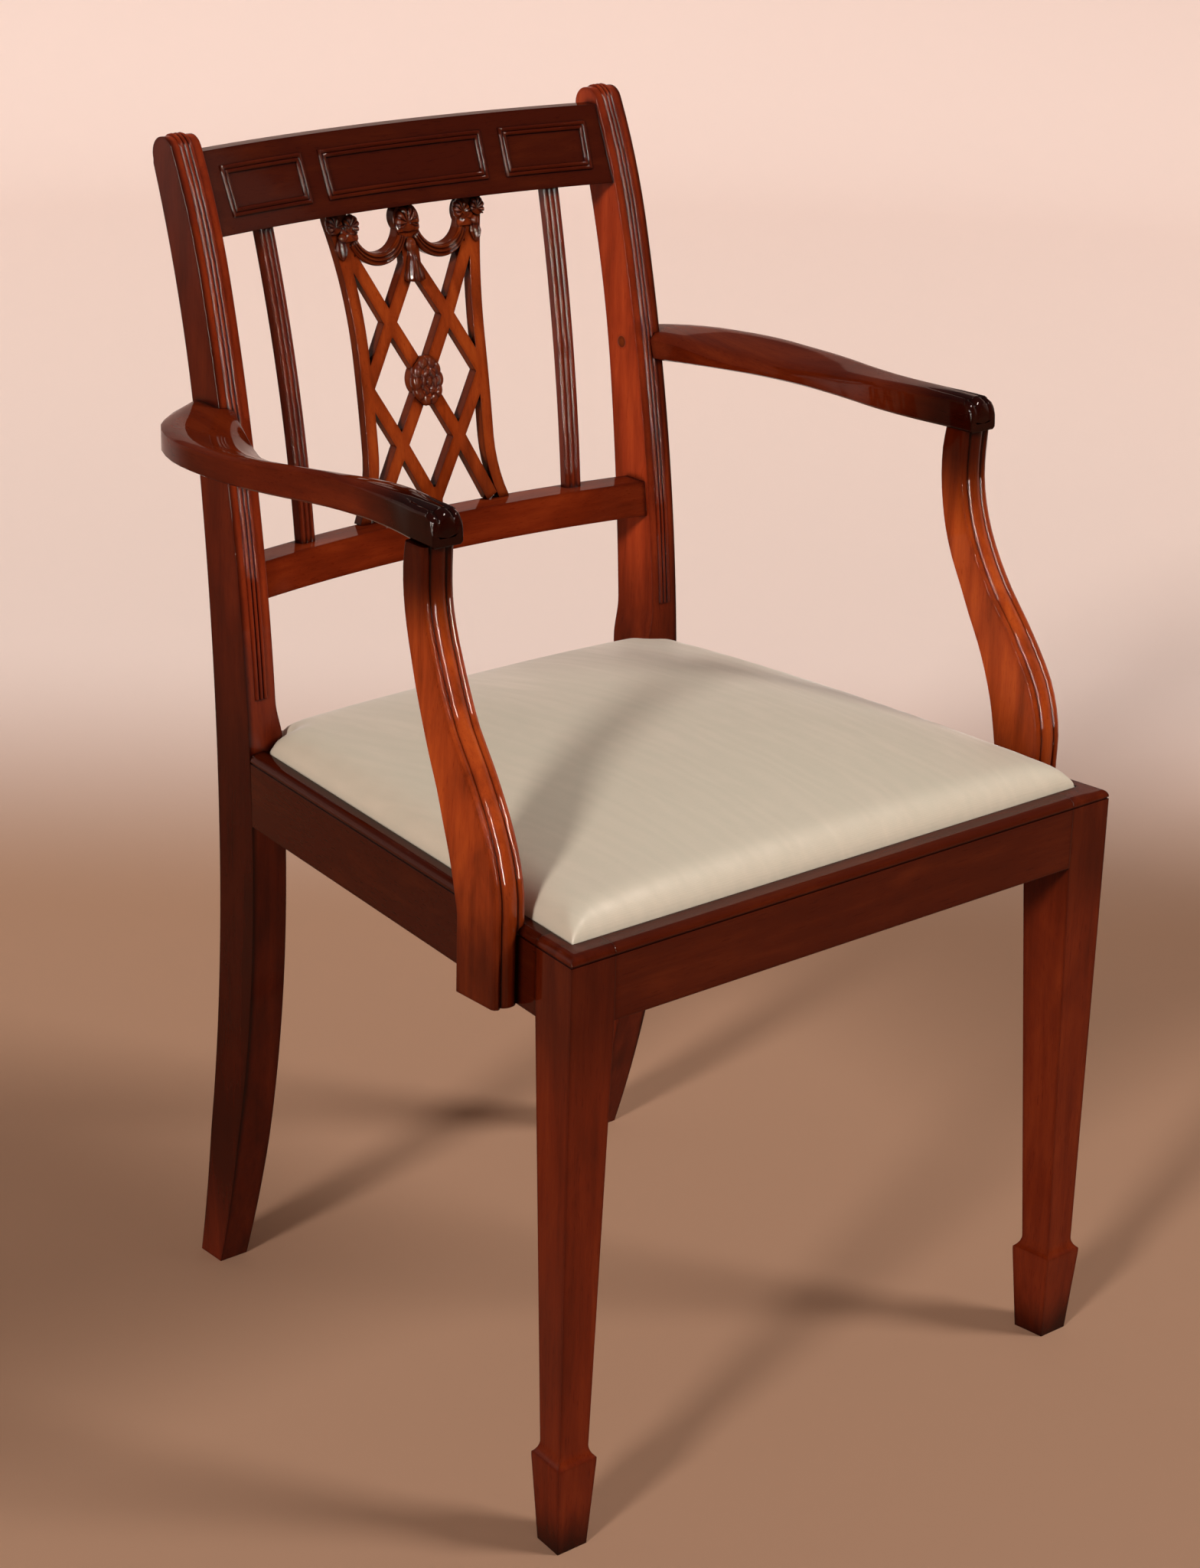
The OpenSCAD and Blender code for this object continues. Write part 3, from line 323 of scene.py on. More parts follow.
@dataclass(frozen=True)
class FrenchPolish:
    """Mahogany under French polish: streaked figure, dark pores, and edges and hollows darkened by
    old polish and painted shade.

    Attributes:
        name: The material's name.
        grain: Direction of the grain.
        dark_bands: Bands where the colour is darker.
        tone: Brightness of the wood, as a multiplier of its middle and light colours.
        dark: Colour of the darkest streaks.
        middle: Colour between them.
        light: Colour of the palest streaks.
        shade: Multiplier for the dark bands, for old polish and painted shade in hollows, and for
            painted shade on faces turned away.
        edge: Multiplier along edges, which also puts painted shade into inside corners.
        sides: Share of the painted shade on faces that look sideways.
        fronts: Share of the painted shade on faces that look forwards or back.
        hollow_reach: Width of the hollows that take old polish and painted shade, in metres.
        edge_reach: Width of the darker line along an edge, in metres.
        edge_round: Radius that edges are shaded with, in metres.
        coat: Weight of the clear polish.
        coat_roughness: Its roughness.
        coat_ior: Its index of refraction.
    """

    name: str
    grain: Grain
    dark_bands: tuple[DarkBand, ...] = ()
    tone: float = 1.0
    dark: Colour = (0.050, 0.0052, 0.0016)
    middle: Colour = (0.118, 0.0135, 0.0031)
    light: Colour = (0.230, 0.0340, 0.0068)
    shade: Colour = (0.14, 0.09, 0.09)
    edge: Colour = (0.60, 0.48, 0.46)
    sides: float = 0.0
    fronts: float = 0.0
    hollow_reach: float = 0.007
    edge_reach: float = 0.0055
    edge_round: float = 0.0009
    coat: float = 0.55
    coat_roughness: float = 0.042
    coat_ior: float = 1.40

    def build(self) -> bpy.types.Material:
        """Makes the material.

        Returns:
            The material.
        """
        g = Graph(self.name)
        along = g.place(self.grain.value, (1.0, 1.0, 0.07))
        soft = g.place(self.grain.value, (1.0, 1.0, 0.35))
        figure = g.noise(along, 70.0, detail=5.0, roughness=0.62, distortion=0.4)
        mottle = g.noise(soft, 26.0, detail=3.0, roughness=0.5, distortion=1.2)
        pores = g.noise(along, 900.0, detail=2.0, roughness=0.6)
        skin = g.noise(soft, 300.0, detail=2.0, roughness=0.5)
        value = g.sums((figure, 0.52), (mottle, 0.36), (pores, 0.12))
        middle, light = (
            tuple(c * self.tone for c in colour) for colour in (self.middle, self.light)
        )
        colour = g.ramp(value, [(0.24, self.dark), (0.50, middle), (0.80, light)])
        colour = g.darken(colour, g.span(pores, 0.58, 0.70), (0.72, 0.62, 0.60))
        # Hollows darken by ambient occlusion: old polish gathered there, and painted shade.
        hollow_polish_and_shade = g.feed(g.node("AmbientOcclusion", samples=6), Distance=self.hollow_reach)
        colour = g.darken(colour, g.span(hollow_polish_and_shade.outputs["AO"], 0.93, 0.45), self.shade)
        colour = self.dark_band(g, colour, mottle)
        facing = g.node("NewGeometry").outputs["Normal"]
        # Painted shade by the way a face turns: darker where it looks sideways or ahead.
        if self.sides or self.fronts:
            ahead = g.size(g.feed(g.node("SeparateXYZ"), _0=facing).outputs[1])
            painted_shade_turned_away = g.span(ahead, 0.60, 0.20, self.fronts, self.sides)
            colour = g.darken(colour, painted_shade_turned_away, self.shade)
        # The wide bevel's normal leaves the face's own normal only near an edge, outside or inside,
        # so this darkens edges and paints shade into inside corners.
        wide = g.feed(g.node("Bevel", samples=4), Radius=self.edge_reach).outputs[0]
        near_edge = g.feed(
            g.node("VectorMath", operation="DOT_PRODUCT"), _0=wide, _1=facing
        ).outputs[1]
        colour = g.darken(colour, g.span(near_edge, 0.985, 0.80), self.edge)
        normal = g.feed(g.node("Bevel", samples=4), Radius=self.edge_round).outputs[0]
        normal = g.relief(skin, distance=0.00006, strength=0.20, normal=normal)
        normal = g.relief(pores, distance=0.00003, strength=0.25, normal=normal)
        g.feed(
            g.shader, Base_Color=colour, Roughness=g.span(mottle, 0.3, 0.7, 0.22, 0.34),
            Normal=normal, IOR=1.5, Specular_IOR_Level=0.0, Coat_Weight=self.coat,
            Coat_Roughness=self.coat_roughness, Coat_IOR=self.coat_ior, Coat_Normal=normal,
        )
        return g.material

    def dark_band(self, g: Graph, colour: Socket, mottle: Socket) -> Socket:
        """Darkens a colour in each dark band.

        Args:
            g: The material's nodes.
            colour: The colour.
            mottle: Noise that the bands' edges wander with.

        Returns:
            The stained colour.
        """
        where = g.feed(g.node("SeparateXYZ"), _0=g.node("TexCoord").outputs["Object"])
        for dark_band in self.dark_bands:
            place = where.outputs[dark_band.axis.value]
            if dark_band.mirrored:
                place = g.size(place)
            wander = g.feed(
                g.node("Math", operation="MULTIPLY_ADD"), _0=mottle, _1=dark_band.wander, _2=place
            ).outputs[0]
            shift = dark_band.wander / 2
            amount = g.span(
                wander, dark_band.clear + shift, dark_band.dark + shift, 0.0, dark_band.depth
            )
            colour = g.darken(colour, amount, self.shade)
        return colour


@dataclass(frozen=True)
class GoldenPolish(FrenchPolish):
    """The same polish where it lets more of the wood's golden ground through."""

    middle: Colour = (0.118, 0.0172, 0.0028)
    light: Colour = (0.230, 0.0440, 0.0060)


@dataclass(frozen=True)
class MoireSilk:
    """Pale ribbed silk with a faint pressed watermark figure."""

    name: str = "moire_silk"
    base: Colour = (0.675, 0.612, 0.486)
    bright: Colour = (0.722, 0.648, 0.517)
    shadow: Colour = (0.642, 0.590, 0.466)

    def build(self) -> bpy.types.Material:
        """Makes the material.

        Returns:
            The material.
        """
        g = Graph(self.name)
        drift = g.noise(
            g.place((0.0, 0.0, 0.12), (1.0, 0.30, 1.0)), 16.0, roughness=0.6, distortion=1.5,
        )
        waves = g.bands(
            g.place((0.0, 0.0, 0.1), (1.0, 0.16, 1.0)), "X", 22.0,
            Distortion=9.0, Detail=3.0, Detail_Scale=1.6, Detail_Roughness=0.6,
        )
        figure = g.sums((waves, 0.12), (drift, 0.88))
        colour = g.ramp(
            figure, [(0.28, self.shadow), (0.50, self.base), (0.74, self.bright)]
        )
        threads = g.noise(g.place(scale=(0.12, 1.0, 1.0)), 1500.0, detail=2.0)
        colour = g.darken(colour, g.span(threads, 0.5, 0.85), (0.95, 0.95, 0.94))
        ribs = g.bands(g.place(), "Y", 420.0, Distortion=1.2, Detail=1.0)
        normal = g.relief(ribs, distance=0.00008, strength=0.30)
        normal = g.relief(figure, distance=0.0006, strength=0.18, normal=normal)
        g.feed(
            g.shader, Base_Color=colour, Roughness=g.span(figure, 0.3, 0.7, 0.56, 0.40),
            Normal=normal, Sheen_Weight=0.35, Sheen_Roughness=0.35, Specular_IOR_Level=0.45,
        )
        return g.material


@dataclass(frozen=True)
class PlainWood:
    """Unpolished beech."""

    name: str
    grain: Grain
    pale: Colour = (0.520, 0.330, 0.170)
    deep: Colour = (0.330, 0.180, 0.085)

    def build(self) -> bpy.types.Material:
        """Makes the material.

        Returns:
            The material.
        """
        g = Graph(self.name)
        along = g.place(self.grain.value, (1.0, 1.0, 0.06))
        figure = g.noise(along, 70.0, detail=5.0, roughness=0.6, distortion=0.5)
        flecks = g.noise(along, 700.0, detail=2.0)
        value = g.sums((figure, 0.75), (flecks, 0.25))
        g.feed(
            g.shader, Base_Color=g.ramp(value, [(0.35, self.deep), (0.62, self.pale)]),
            Roughness=g.span(figure, 0.3, 0.7, 0.5, 0.66),
            Normal=g.relief(flecks, distance=0.00008, strength=0.4),
        )
        return g.material


@dataclass(frozen=True)
class Weave:
    """A plain-woven cloth with warp and weft of a given pitch in metres."""

    name: str
    pale: Colour
    deep: Colour
    pitch: float
    roughness: float = 0.9

    def build(self) -> bpy.types.Material:
        """Makes the material.

        Returns:
            The material.
        """
        g = Graph(self.name)
        flat = g.place()
        warp, weft = (
            g.bands(flat, axis, math.pi / 10 / self.pitch, Distortion=0.6, Detail=1.0)
            for axis in ("X", "Y")
        )
        cross = g.sums((warp, 0.5), (weft, 0.5))
        fuzz = g.noise(flat, 900.0, detail=3.0)
        value = g.sums((cross, 0.6), (fuzz, 0.4))
        g.feed(
            g.shader, Base_Color=g.ramp(value, [(0.25, self.deep), (0.70, self.pale)]),
            Roughness=g.span(fuzz, 0.2, 0.8, self.roughness - 0.08, self.roughness),
            Normal=g.relief(cross, distance=self.pitch * 0.3, strength=0.6),
        )
        return g.material


@dataclass(frozen=True)
class Brass:
    """Dull brass of old screws."""

    name: str = "screw_brass"
    bright: Colour = (0.62, 0.42, 0.16)
    dull: Colour = (0.28, 0.18, 0.07)

    def build(self) -> bpy.types.Material:
        """Makes the material.

        Returns:
            The material.
        """
        g = Graph(self.name)
        tarnish = g.noise(g.place(), 180.0)
        g.feed(
            g.shader, Base_Color=g.ramp(tarnish, [(0.35, self.dull), (0.65, self.bright)]),
            Roughness=g.span(tarnish, 0.3, 0.7, 0.45, 0.28), Metallic=1.0,
        )
        return g.material


def show(made: bpy.types.Object) -> None:
    """Puts an object in the scene."""
    bpy.context.scene.collection.objects.link(made)


def piece(
    name: str, verts: Sequence[Vector], faces: Sequence[Sequence[int]],
    material: bpy.types.Material, body: Body = Body.FRAME,
) -> bpy.types.Object:
    """Makes a smooth-shaded mesh that rides on a body.

    Args:
        name: The piece's name.
        verts: Corners in the model's metres.
        faces: Corner numbers of each face.
        material: Its finish.
        body: The body that it moves with.

    Returns:
        The new object.
    """
    mesh = bpy.data.meshes.new(name)
    mesh.from_pydata([tuple(v) for v in verts], [], [tuple(f) for f in faces])
    mesh.validate()
    mesh.update()
    mesh.shade_smooth()
    made = bpy.data.objects.new(name, mesh)
    show(made)
    made.data.materials.append(material)
    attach(made, body.value)
    LOG.info("made %s", name)
    return made


def loop_faces(loops: int, count: int, closed: bool) -> list[Face]:
    """Faces between loops of points that each hold the same count.

    Args:
        loops: How many loops there are.
        count: Points in each loop.
        closed: Whether the last loop joins the first.

    Returns:
        The quads.
    """
    return [
        (a * count + k, a * count + (k + 1) % count,
         ((a + 1) % loops) * count + (k + 1) % count, ((a + 1) % loops) * count + k)
        for a in range(loops if closed else loops - 1) for k in range(count)
    ]


@dataclass(frozen=True)
class SmoothShading:
    """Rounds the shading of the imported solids, and keeps edges sharper than an angle.

    Attributes:
        angle: Bend over which an edge stays sharp.
        reach: Distance within which corners are welded, in metres.
    """

    angle: float = math.radians(34)
    reach: float = 0.00002

    def group(self) -> bpy.types.NodeTree:
        """Makes the nodes that weld a solid's faces and smooth the gentle edges between them.

        Returns:
            The node group.
        """
        tree = bpy.data.node_groups.new("smooth_shading", "GeometryNodeTree")
        for way in ("INPUT", "OUTPUT"):
            tree.interface.new_socket("Geometry", in_out=way, socket_type="NodeSocketGeometry")
        nodes, links = tree.nodes, tree.links
        start, end = nodes.new("NodeGroupInput"), nodes.new("NodeGroupOutput")
        weld = nodes.new("GeometryNodeMergeByDistance")
        weld.inputs["Distance"].default_value = self.reach
        faces = nodes.new("GeometryNodeSetShadeSmooth")
        edges = nodes.new("GeometryNodeSetShadeSmooth")
        edges.domain = "EDGE"
        bend = nodes.new("GeometryNodeInputMeshEdgeAngle")
        gentle = nodes.new("FunctionNodeCompare")
        gentle.data_type, gentle.operation = "FLOAT", "LESS_THAN"
        gentle.inputs[1].default_value = self.angle
        links.new(start.outputs[0], weld.inputs[0])
        links.new(weld.outputs[0], faces.inputs["Geometry"])
        links.new(faces.outputs[0], edges.inputs["Geometry"])
        links.new(bend.outputs[0], gentle.inputs[0])
        links.new(gentle.outputs[0], edges.inputs["Shade Smooth"])
        links.new(edges.outputs[0], end.inputs[0])
        return tree


@dataclass
class PackedSolids:
    """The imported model's own solids, each with its finish. Places are in metres.

    Attributes:
        knuckle_y: Place back of the arms' darkest part, their knuckles.
        arm_z: Height of the dark tops of the arm supports.
        spade_z: Height where the spade feet begin to darken, downwards.
        post_side_x: Place across of the posts' dark outer sides.
    """

    knuckle_y: float = -0.100
    arm_z: float = 0.675
    spade_z: float = 0.045
    post_side_x: float = 0.2075

    def finishes(self) -> dict[str, bpy.types.Material]:
        """Makes each finish once.

        Returns:
            The material of each node.
        """
        across, deep, upright = Grain.ACROSS, Grain.DEEP, Grain.UPRIGHT
        # The bands darken the knuckles, the posts' outer sides, and pieces towards where they meet
        # other pieces and the floor.
        arm_bands = (DarkBand(Axis.BACK, clear=self.knuckle_y + 0.075, dark=self.knuckle_y),)
        support_bands = (
            DarkBand(Axis.UP, clear=self.arm_z - 0.075, dark=self.arm_z - 0.010),
            DarkBand(Axis.UP, clear=0.525, dark=0.400, depth=0.85),
        )
        leg_bands = (
            DarkBand(Axis.UP, clear=self.spade_z, dark=self.spade_z - 0.05),
            DarkBand(Axis.UP, clear=0.33, dark=0.40, depth=0.5),
        )
        splat_bands = (
            DarkBand(Axis.UP, clear=0.770, dark=0.812, depth=0.55),
            DarkBand(Axis.UP, clear=0.640, dark=0.575, depth=0.45),
        )
        post_bands = (
            DarkBand(Axis.ACROSS, clear=self.post_side_x - 0.005, dark=self.post_side_x,
                  mirrored=True, wander=0.002, depth=0.85),
            DarkBand(Axis.UP, clear=0.57, dark=0.42, depth=0.7),
        )
        # Tones differ piece by piece. Besides the boards' own colour they hold painted light and
        # shade, each set to how bright its piece looks in the light where it stands. The sides and
        # fronts shares add painted shade on faces turned those ways.
        dressed = {
            ("crest_rail",): FrenchPolish("mahogany_crest", across, tone=0.45),
            ("lower_back_rail",): FrenchPolish("mahogany_lower_rail", across, tone=1.35),
            ("front_seat_rail", "back_seat_rail"):
                FrenchPolish("mahogany_rails", across, tone=0.60),
            ("left_seat_rail", "right_seat_rail"):
                FrenchPolish("mahogany_sides", deep, tone=0.38),
            ("left_back_bar", "right_back_bar"):
                FrenchPolish("mahogany_bars", upright, tone=1.75, sides=0.45, fronts=0.30),
            ("splat", "arm_screw_pellets"):
                GoldenPolish("mahogany_splat", upright, splat_bands, tone=2.35, sides=0.60),
            ("left_arm", "right_arm"): FrenchPolish("mahogany_arm", deep, arm_bands),
            ("left_arm_support", "right_arm_support"):
                GoldenPolish("mahogany_arm_support", upright, support_bands, tone=3.2),
            ("left_front_leg", "right_front_leg"):
                FrenchPolish("mahogany_leg", upright, leg_bands, tone=1.12),
            ("left_rear_post", "right_rear_post"):
                FrenchPolish("mahogany_posts", upright, post_bands, tone=2.75, fronts=0.38),
            ("corner_blocks", "slip_front_member", "slip_back_member"):
                PlainWood("beech_across", across),
            ("arm_dowels", "slip_left_member", "slip_right_member", "slip_dowels"):
                PlainWood("beech_deep", deep),
            ("corner_block_screws", "arm_support_screws", "arm_screws"): Brass(),
            ("webbing_lengthwise", "webbing_crosswise"):
                Weave("jute_webbing", (0.42, 0.30, 0.16), (0.20, 0.13, 0.06), pitch=0.0022),
            ("hessian",):
                Weave("hessian", (0.50, 0.40, 0.25), (0.25, 0.18, 0.09), pitch=0.0014),
        }
        found: dict[str, bpy.types.Material] = {}
        for nodes, finish in dressed.items():
            found.update(dict.fromkeys(nodes, finish.build()))
        return found

    def build(self) -> None:
        """Dresses every node that stays in view."""
        shading = SmoothShading().group()
        for name, material in self.finishes().items():
            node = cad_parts[name]
            node.data.materials.clear()
            node.data.materials.append(material)
            node.modifiers.new("smooth_shading", "NODES").node_group = shading
            node.modifiers.new("flat_faces", "WEIGHTED_NORMAL").keep_sharp = True
            LOG.info("dressed %s", name)


@dataclass
class CrestPanels:
    """Beaded panel outlines on the crest rail's bowed and leaning face, in millimetres.

    Attributes:
        bow_r: Radius of the face's bow at the rail's lower edge.
        axis_y: Place of the bow's axis.
        lean: How far the face leans back over its height, as a slope.
        rail_z: Height of the rail's lower edge.
        rail_h: Height of the rail.
        panel_h: Height of the panels.
        mid_half: Half the middle panel's width.
        side_from: Inner end of a side panel.
        side_to: Outer end of a side panel.
        line_inset: Places of the two beads, inwards from a panel's outline.
        bead_r: Half a bead's width.
        bead_h: Height of a bead.
        foot: Height of a bead's edges, which lie behind the face.
    """

    bow_r: float = 937.218
    axis_y: float = -430.472
    lean: float = 0.41233
    rail_z: float = 813.0
    rail_h: float = 57.2
    panel_h: float = 34.0
    mid_half: float = 73.5
    side_from: float = 90.5
    side_to: float = 165.8
    line_inset: tuple[float, float] = (1.0, 4.0)
    bead_r: float = 1.55
    bead_h: float = 1.75
    foot: float = -0.6

    def on_face(self, x: float, z: float, proud: float) -> Vector:
        """Point on the rail's front face, or proud of it.

        Args:
            x: Place across, measured at the rail's bottom edge.
            z: Height above the floor.
            proud: Distance out from the face.

        Returns:
            The point in metres.
        """
        turn = math.asin(x / self.bow_r)
        size = math.hypot(1.0, self.lean)
        r = self.bow_r + self.lean * (z - self.rail_z) - proud / size
        return at(r * math.sin(turn), self.axis_y + r * math.cos(turn),
                  z + proud * self.lean / size)

    def rectangle(self, x0: float, x1: float, inset: float) -> list[tuple[float, float]]:
        """Points round a panel, inset from its outline.

        Args:
            x0: The panel's left end.
            x1: Its right end.
            inset: Distance inwards.

        Returns:
            Place across and height of each point.
        """
        z0 = self.rail_z + (self.rail_h - self.panel_h) / 2 + inset
        z1 = self.rail_z + (self.rail_h + self.panel_h) / 2 - inset
        a, b = x0 + inset, x1 - inset
        along, up = 24, 6
        return (
            [(lerp(a, b, i / along), z0) for i in range(along)]
            + [(b, lerp(z0, z1, i / up)) for i in range(up)]
            + [(lerp(b, a, i / along), z1) for i in range(along)]
            + [(a, lerp(z1, z0, i / up)) for i in range(up)]
        )

    def build(self, material: bpy.types.Material) -> None:
        """Makes the three panels' beads.

        Args:
            material: Their finish.
        """
        section = [(-self.bead_r, self.foot)] + [
            (-self.bead_r * math.cos(math.pi * k / 8), self.bead_h * math.sin(math.pi * k / 8))
            for k in range(9)
        ] + [(self.bead_r, self.foot)]
        panels = {
            "crest_panel_middle": (-self.mid_half, self.mid_half),
            "crest_panel_right": (self.side_from, self.side_to),
            "crest_panel_left": (-self.side_to, -self.side_from),
        }
        for name, (x0, x1) in panels.items():
            verts: list[Vector] = []
            faces: list[Face] = []
            for inset in self.line_inset:
                base = len(verts)
                loops = [
                    [self.on_face(x, z, h) for x, z in self.rectangle(x0, x1, inset + t)]
                    for t, h in section
                ]
                verts += [v for loop in loops for v in loop]
                faces += [
                    tuple(base + i for i in face)
                    for face in loop_faces(len(loops), len(loops[0]), True)
                ]
            piece(name, verts, faces, material)


@dataclass
class SplatCarving:
    """Shells, swags, tassel and rosette carved on the splat, in millimetres.

    Attributes:
        centre_y: Place of the axis that the splat's face curves round.
        centre_z: Height of that axis.
        sweep_r: Radius of the curve.
        top_z: Height of the splat's top.
        rosette_z: Height of the rosette.
        rosette: Half its width and half its height.
        group: Place across of a side knot and its distance below the top.
        foot: Height of a relief's rim, which lies behind the face.
    """

    centre_y: float = 1787.65
    centre_z: float = 454.579
    sweep_r: float = 1320.0
    top_z: float = 813.0
    rosette_z: float = 682.75
    rosette: tuple[float, float] = (14.6, 19.2)
    group: tuple[float, float] = (61.5, 18.0)
    foot: float = -1.2

    def face(self, x: float, z: float, proud: float) -> Vector:
        """Point proud of the splat's front face."""
        y = self.centre_y - math.sqrt(self.sweep_r ** 2 - (z - self.centre_z) ** 2)
        return at(x, y - proud, z)

    def rings(
        self, outline: Callable[[float], tuple[float, float]],
        height: Callable[[float, float], float], centre: tuple[float, float],
        around: int, steps: int,
    ) -> Relief:
        """Domed relief from its rim to its centre.

        Args:
            outline: Rim offset from the centre at an angle.
            height: How proud the relief is at a share of the radius and an angle.
            centre: The relief's centre as x and z.
            around: Points in each ring.
            steps: Rings.

        Returns:
            Corners and faces, closed behind the splat's face.
        """
        cx, cz = centre
        verts: list[Vector] = []
        for k in range(steps + 1):
            r = 1.0 if k == 0 else 1 - (k - 1) / steps
            for i in range(around):
                angle = 2 * math.pi * i / around
                dx, dz = outline(angle)
                h = self.foot if k == 0 else height(r, angle)
                verts.append(self.face(cx + dx * r, cz + dz * r, h))
        verts.append(self.face(cx, cz, height(0.0, 0.0)))
        verts.append(self.face(cx, cz, self.foot))
        faces = loop_faces(steps + 1, around, False)
        top, last = len(verts) - 2, steps * around
        faces += [(last + i, last + (i + 1) % around, top) for i in range(around)]
        faces += [((i + 1) % around, i, top + 1) for i in range(around)]
        return verts, faces

    def ribbon(self, loops: Sequence[Sequence[Vector]]) -> Relief:
        """Closed relief through a row of cross-sections.

        Args:
            loops: The cross-sections, each with the same count of points.

        Returns:
            Corners and faces.
        """
        around = len(loops[0])
        last = (len(loops) - 1) * around
        faces = loop_faces(len(loops), around, False)
        faces += [tuple(reversed(range(around))), tuple(range(last, last + around))]
        return [v for loop in loops for v in loop], faces

    def rosette_relief(self) -> Relief:
        """Oval rosette: ten petals round a ring of six bosses and a middle one.

        Returns:
            Corners and faces.
        """
        half_w, half_h = self.rosette

        def outline(angle: float) -> tuple[float, float]:
            """Scalloped oval."""
            lobe = 0.93 + 0.07 * abs(math.cos(angle * 5))
            return half_w * math.cos(angle) * lobe, half_h * math.sin(angle) * lobe

        def lobes(turn: float) -> float:
            """Rounded lobes with valleys between them."""
            return 0.45 + 0.55 * math.sqrt(abs(math.cos(turn)))

        def ridge(share: float) -> float:
            """Round ridge from 0 to 1."""
            return math.sin(math.pi * min(max(share, 0), 1)) ** 0.6

        def height(r: float, angle: float) -> float:
            """Petals outside, a ring of bosses inside them, and a ball in the middle.

            Args:
                r: Share of the radius.
                angle: Angle round the centre.

            Returns:
                How proud the carving is.
            """
            outer, inner = ridge((r - 0.56) / 0.44), ridge((r - 0.22) / 0.34)
            middle = math.sqrt(max(0.0, 1 - (r / 0.22) ** 2)) if r < 0.22 else 0.0
            base = 2.6 * math.sqrt(max(0.0, 1 - r * r * 0.85))
            petals, bosses = 2.9 * lobes(angle * 5) * outer, 2.6 * lobes(angle * 3 + 0.5) * inner
            return 0.5 + base + petals + bosses + 2.2 * middle

        return self.rings(outline, height, (0.0, self.rosette_z), 120, 26)

    def shell_relief(
        self, x: float, z: float, half: float, tall: float, lean: float,
    ) -> Relief:
        """Fan shell with seven ribs over a small root.

        Args:
            x: Place of the root.
            z: Height of the root.
            half: Half-width of the fan.
            tall: Height of the fan above its root.
            lean: How far the fan leans sideways, in radians.

        Returns:
            Corners and faces.
        """
        def rib(angle: float) -> float:
            """Round rib profile over the fan's angle.

            Args:
                angle: Angle round the root.

            Returns:
                1 on a rib, 0 in a valley.
            """
            up = (angle - math.pi / 2 + math.pi) % (2 * math.pi) - math.pi
            share = up / math.radians(115)
            if abs(share) > 1:
                return 0.3
            place = (share * 3.5) % 1.0 * 2 - 1
            return math.sqrt(max(0.0, 1 - place * place))

        def outline(angle: float) -> tuple[float, float]:
            """Scalloped fan outline about a low centre.

            Args:
                angle: Angle round the centre.

            Returns:
                Rim offset across and up.
            """
            lobe = 0.87 + 0.13 * rib(angle)
            dx = half * math.cos(angle) * lobe
            dz = tall * (0.62 if math.sin(angle) > 0 else 0.38) * math.sin(angle) * lobe
            return (dx * math.cos(lean) + dz * math.sin(lean),
                    dz * math.cos(lean) - dx * math.sin(lean))

        def height(r: float, angle: float) -> float:
            """Ribs that rise to the rim and round over it."""
            edge = math.sqrt(max(0.0, 1 - max(0.0, (r - 0.7) / 0.3) ** 2))
            return 0.4 + (1.5 + 2.5 * rib(angle) * min(1.0, r * 1.6)) * edge

        return self.rings(outline, height, (x, z + tall * 0.38), 132, 18)

    def swag_relief(self, side: int) -> Relief:
        """Drapery swag of three cords between a side shell and the knot.

        Args:
            side: 1 for the right one, -1 for the left.

        Returns:
            Corners and faces.
        """
        cx, cz = side * 29.0, self.top_z - 13.5
        sweep_r, width = 24.4, 8.6
        steps, around = 40, 19
        loops = []
        for i in range(steps + 1):
            angle = math.radians(lerp(203, 337, i / steps))
            taper = 0.72 + 0.28 * math.sin(math.pi * i / steps)
            loop = []
            for k in range(around):
                t = k / (around - 1)
                cord = abs(math.sin(math.pi * t * 3)) ** 0.7
                h = (0.7 + 2.0 * cord + 0.7 * math.sin(math.pi * t)) * taper
                if k in (0, around - 1):
                    h = self.foot
                r = sweep_r + (t - 0.5) * width * taper
                loop.append(self.face(cx + r * math.cos(angle), cz + r * math.sin(angle), h))
            loops.append(loop)
        return self.ribbon(loops)

    def leaf_relief(self, x: float, z: float, half: float, tall: float) -> Relief:
        """Leaf that hangs from a boss, with a midrib and lobed sides.

        Args:
            x: Place of its stem.
            z: Height of its stem.
            half: Half-width.
            tall: Length down to its tip.

        Returns:
            Corners and faces.
        """
        def outline(angle: float) -> tuple[float, float]:
            """Lobed drop that narrows to its tip.

            Args:
                angle: Angle round the centre.

            Returns:
                Rim offset across and up.
            """
            narrow = 1 - 0.35 * max(0.0, -math.sin(angle))
            lobe = 0.92 + 0.08 * abs(math.cos(angle * 4))
            return half * math.cos(angle) * lobe * narrow, tall / 2 * math.sin(angle)

        def height(r: float, angle: float) -> float:
            """Dome cut by a valley each side of the midrib.

            Args:
                r: Share of the radius.
                angle: Angle round the centre.

            Returns:
                How proud the leaf is.
            """
            dome = math.sqrt(max(0.0, 1 - r * r * 0.9))
            vein = math.cos(r * math.cos(angle) * 7.5) * 0.5 + 0.5
            return 0.4 + 1.4 * dome + 1.9 * dome * vein

        return self.rings(outline, height, (x, z - tall / 2), 72, 14)

    def boss_relief(self, x: float, z: float, r: float) -> Relief:
        """Round knot over the place where a shell and its leaf meet.

        Args:
            x: Its place across.
            z: Its height.
            r: Its radius.

        Returns:
            Corners and faces.
        """
        def outline(angle: float) -> tuple[float, float]:
            """Circle."""
            return r * math.cos(angle), r * math.sin(angle)

        def height(share: float, angle: float) -> float:
            """Ball that stands above the shells."""
            return 2.6 + r * 0.9 * math.sqrt(max(0.0, 1 - share * share))

        return self.rings(outline, height, (x, z), 32, 8)

    def tassel_relief(self) -> Relief:
        """Knot with a ribbed bell tassel under it.

        Returns:
            Corners and faces.
        """
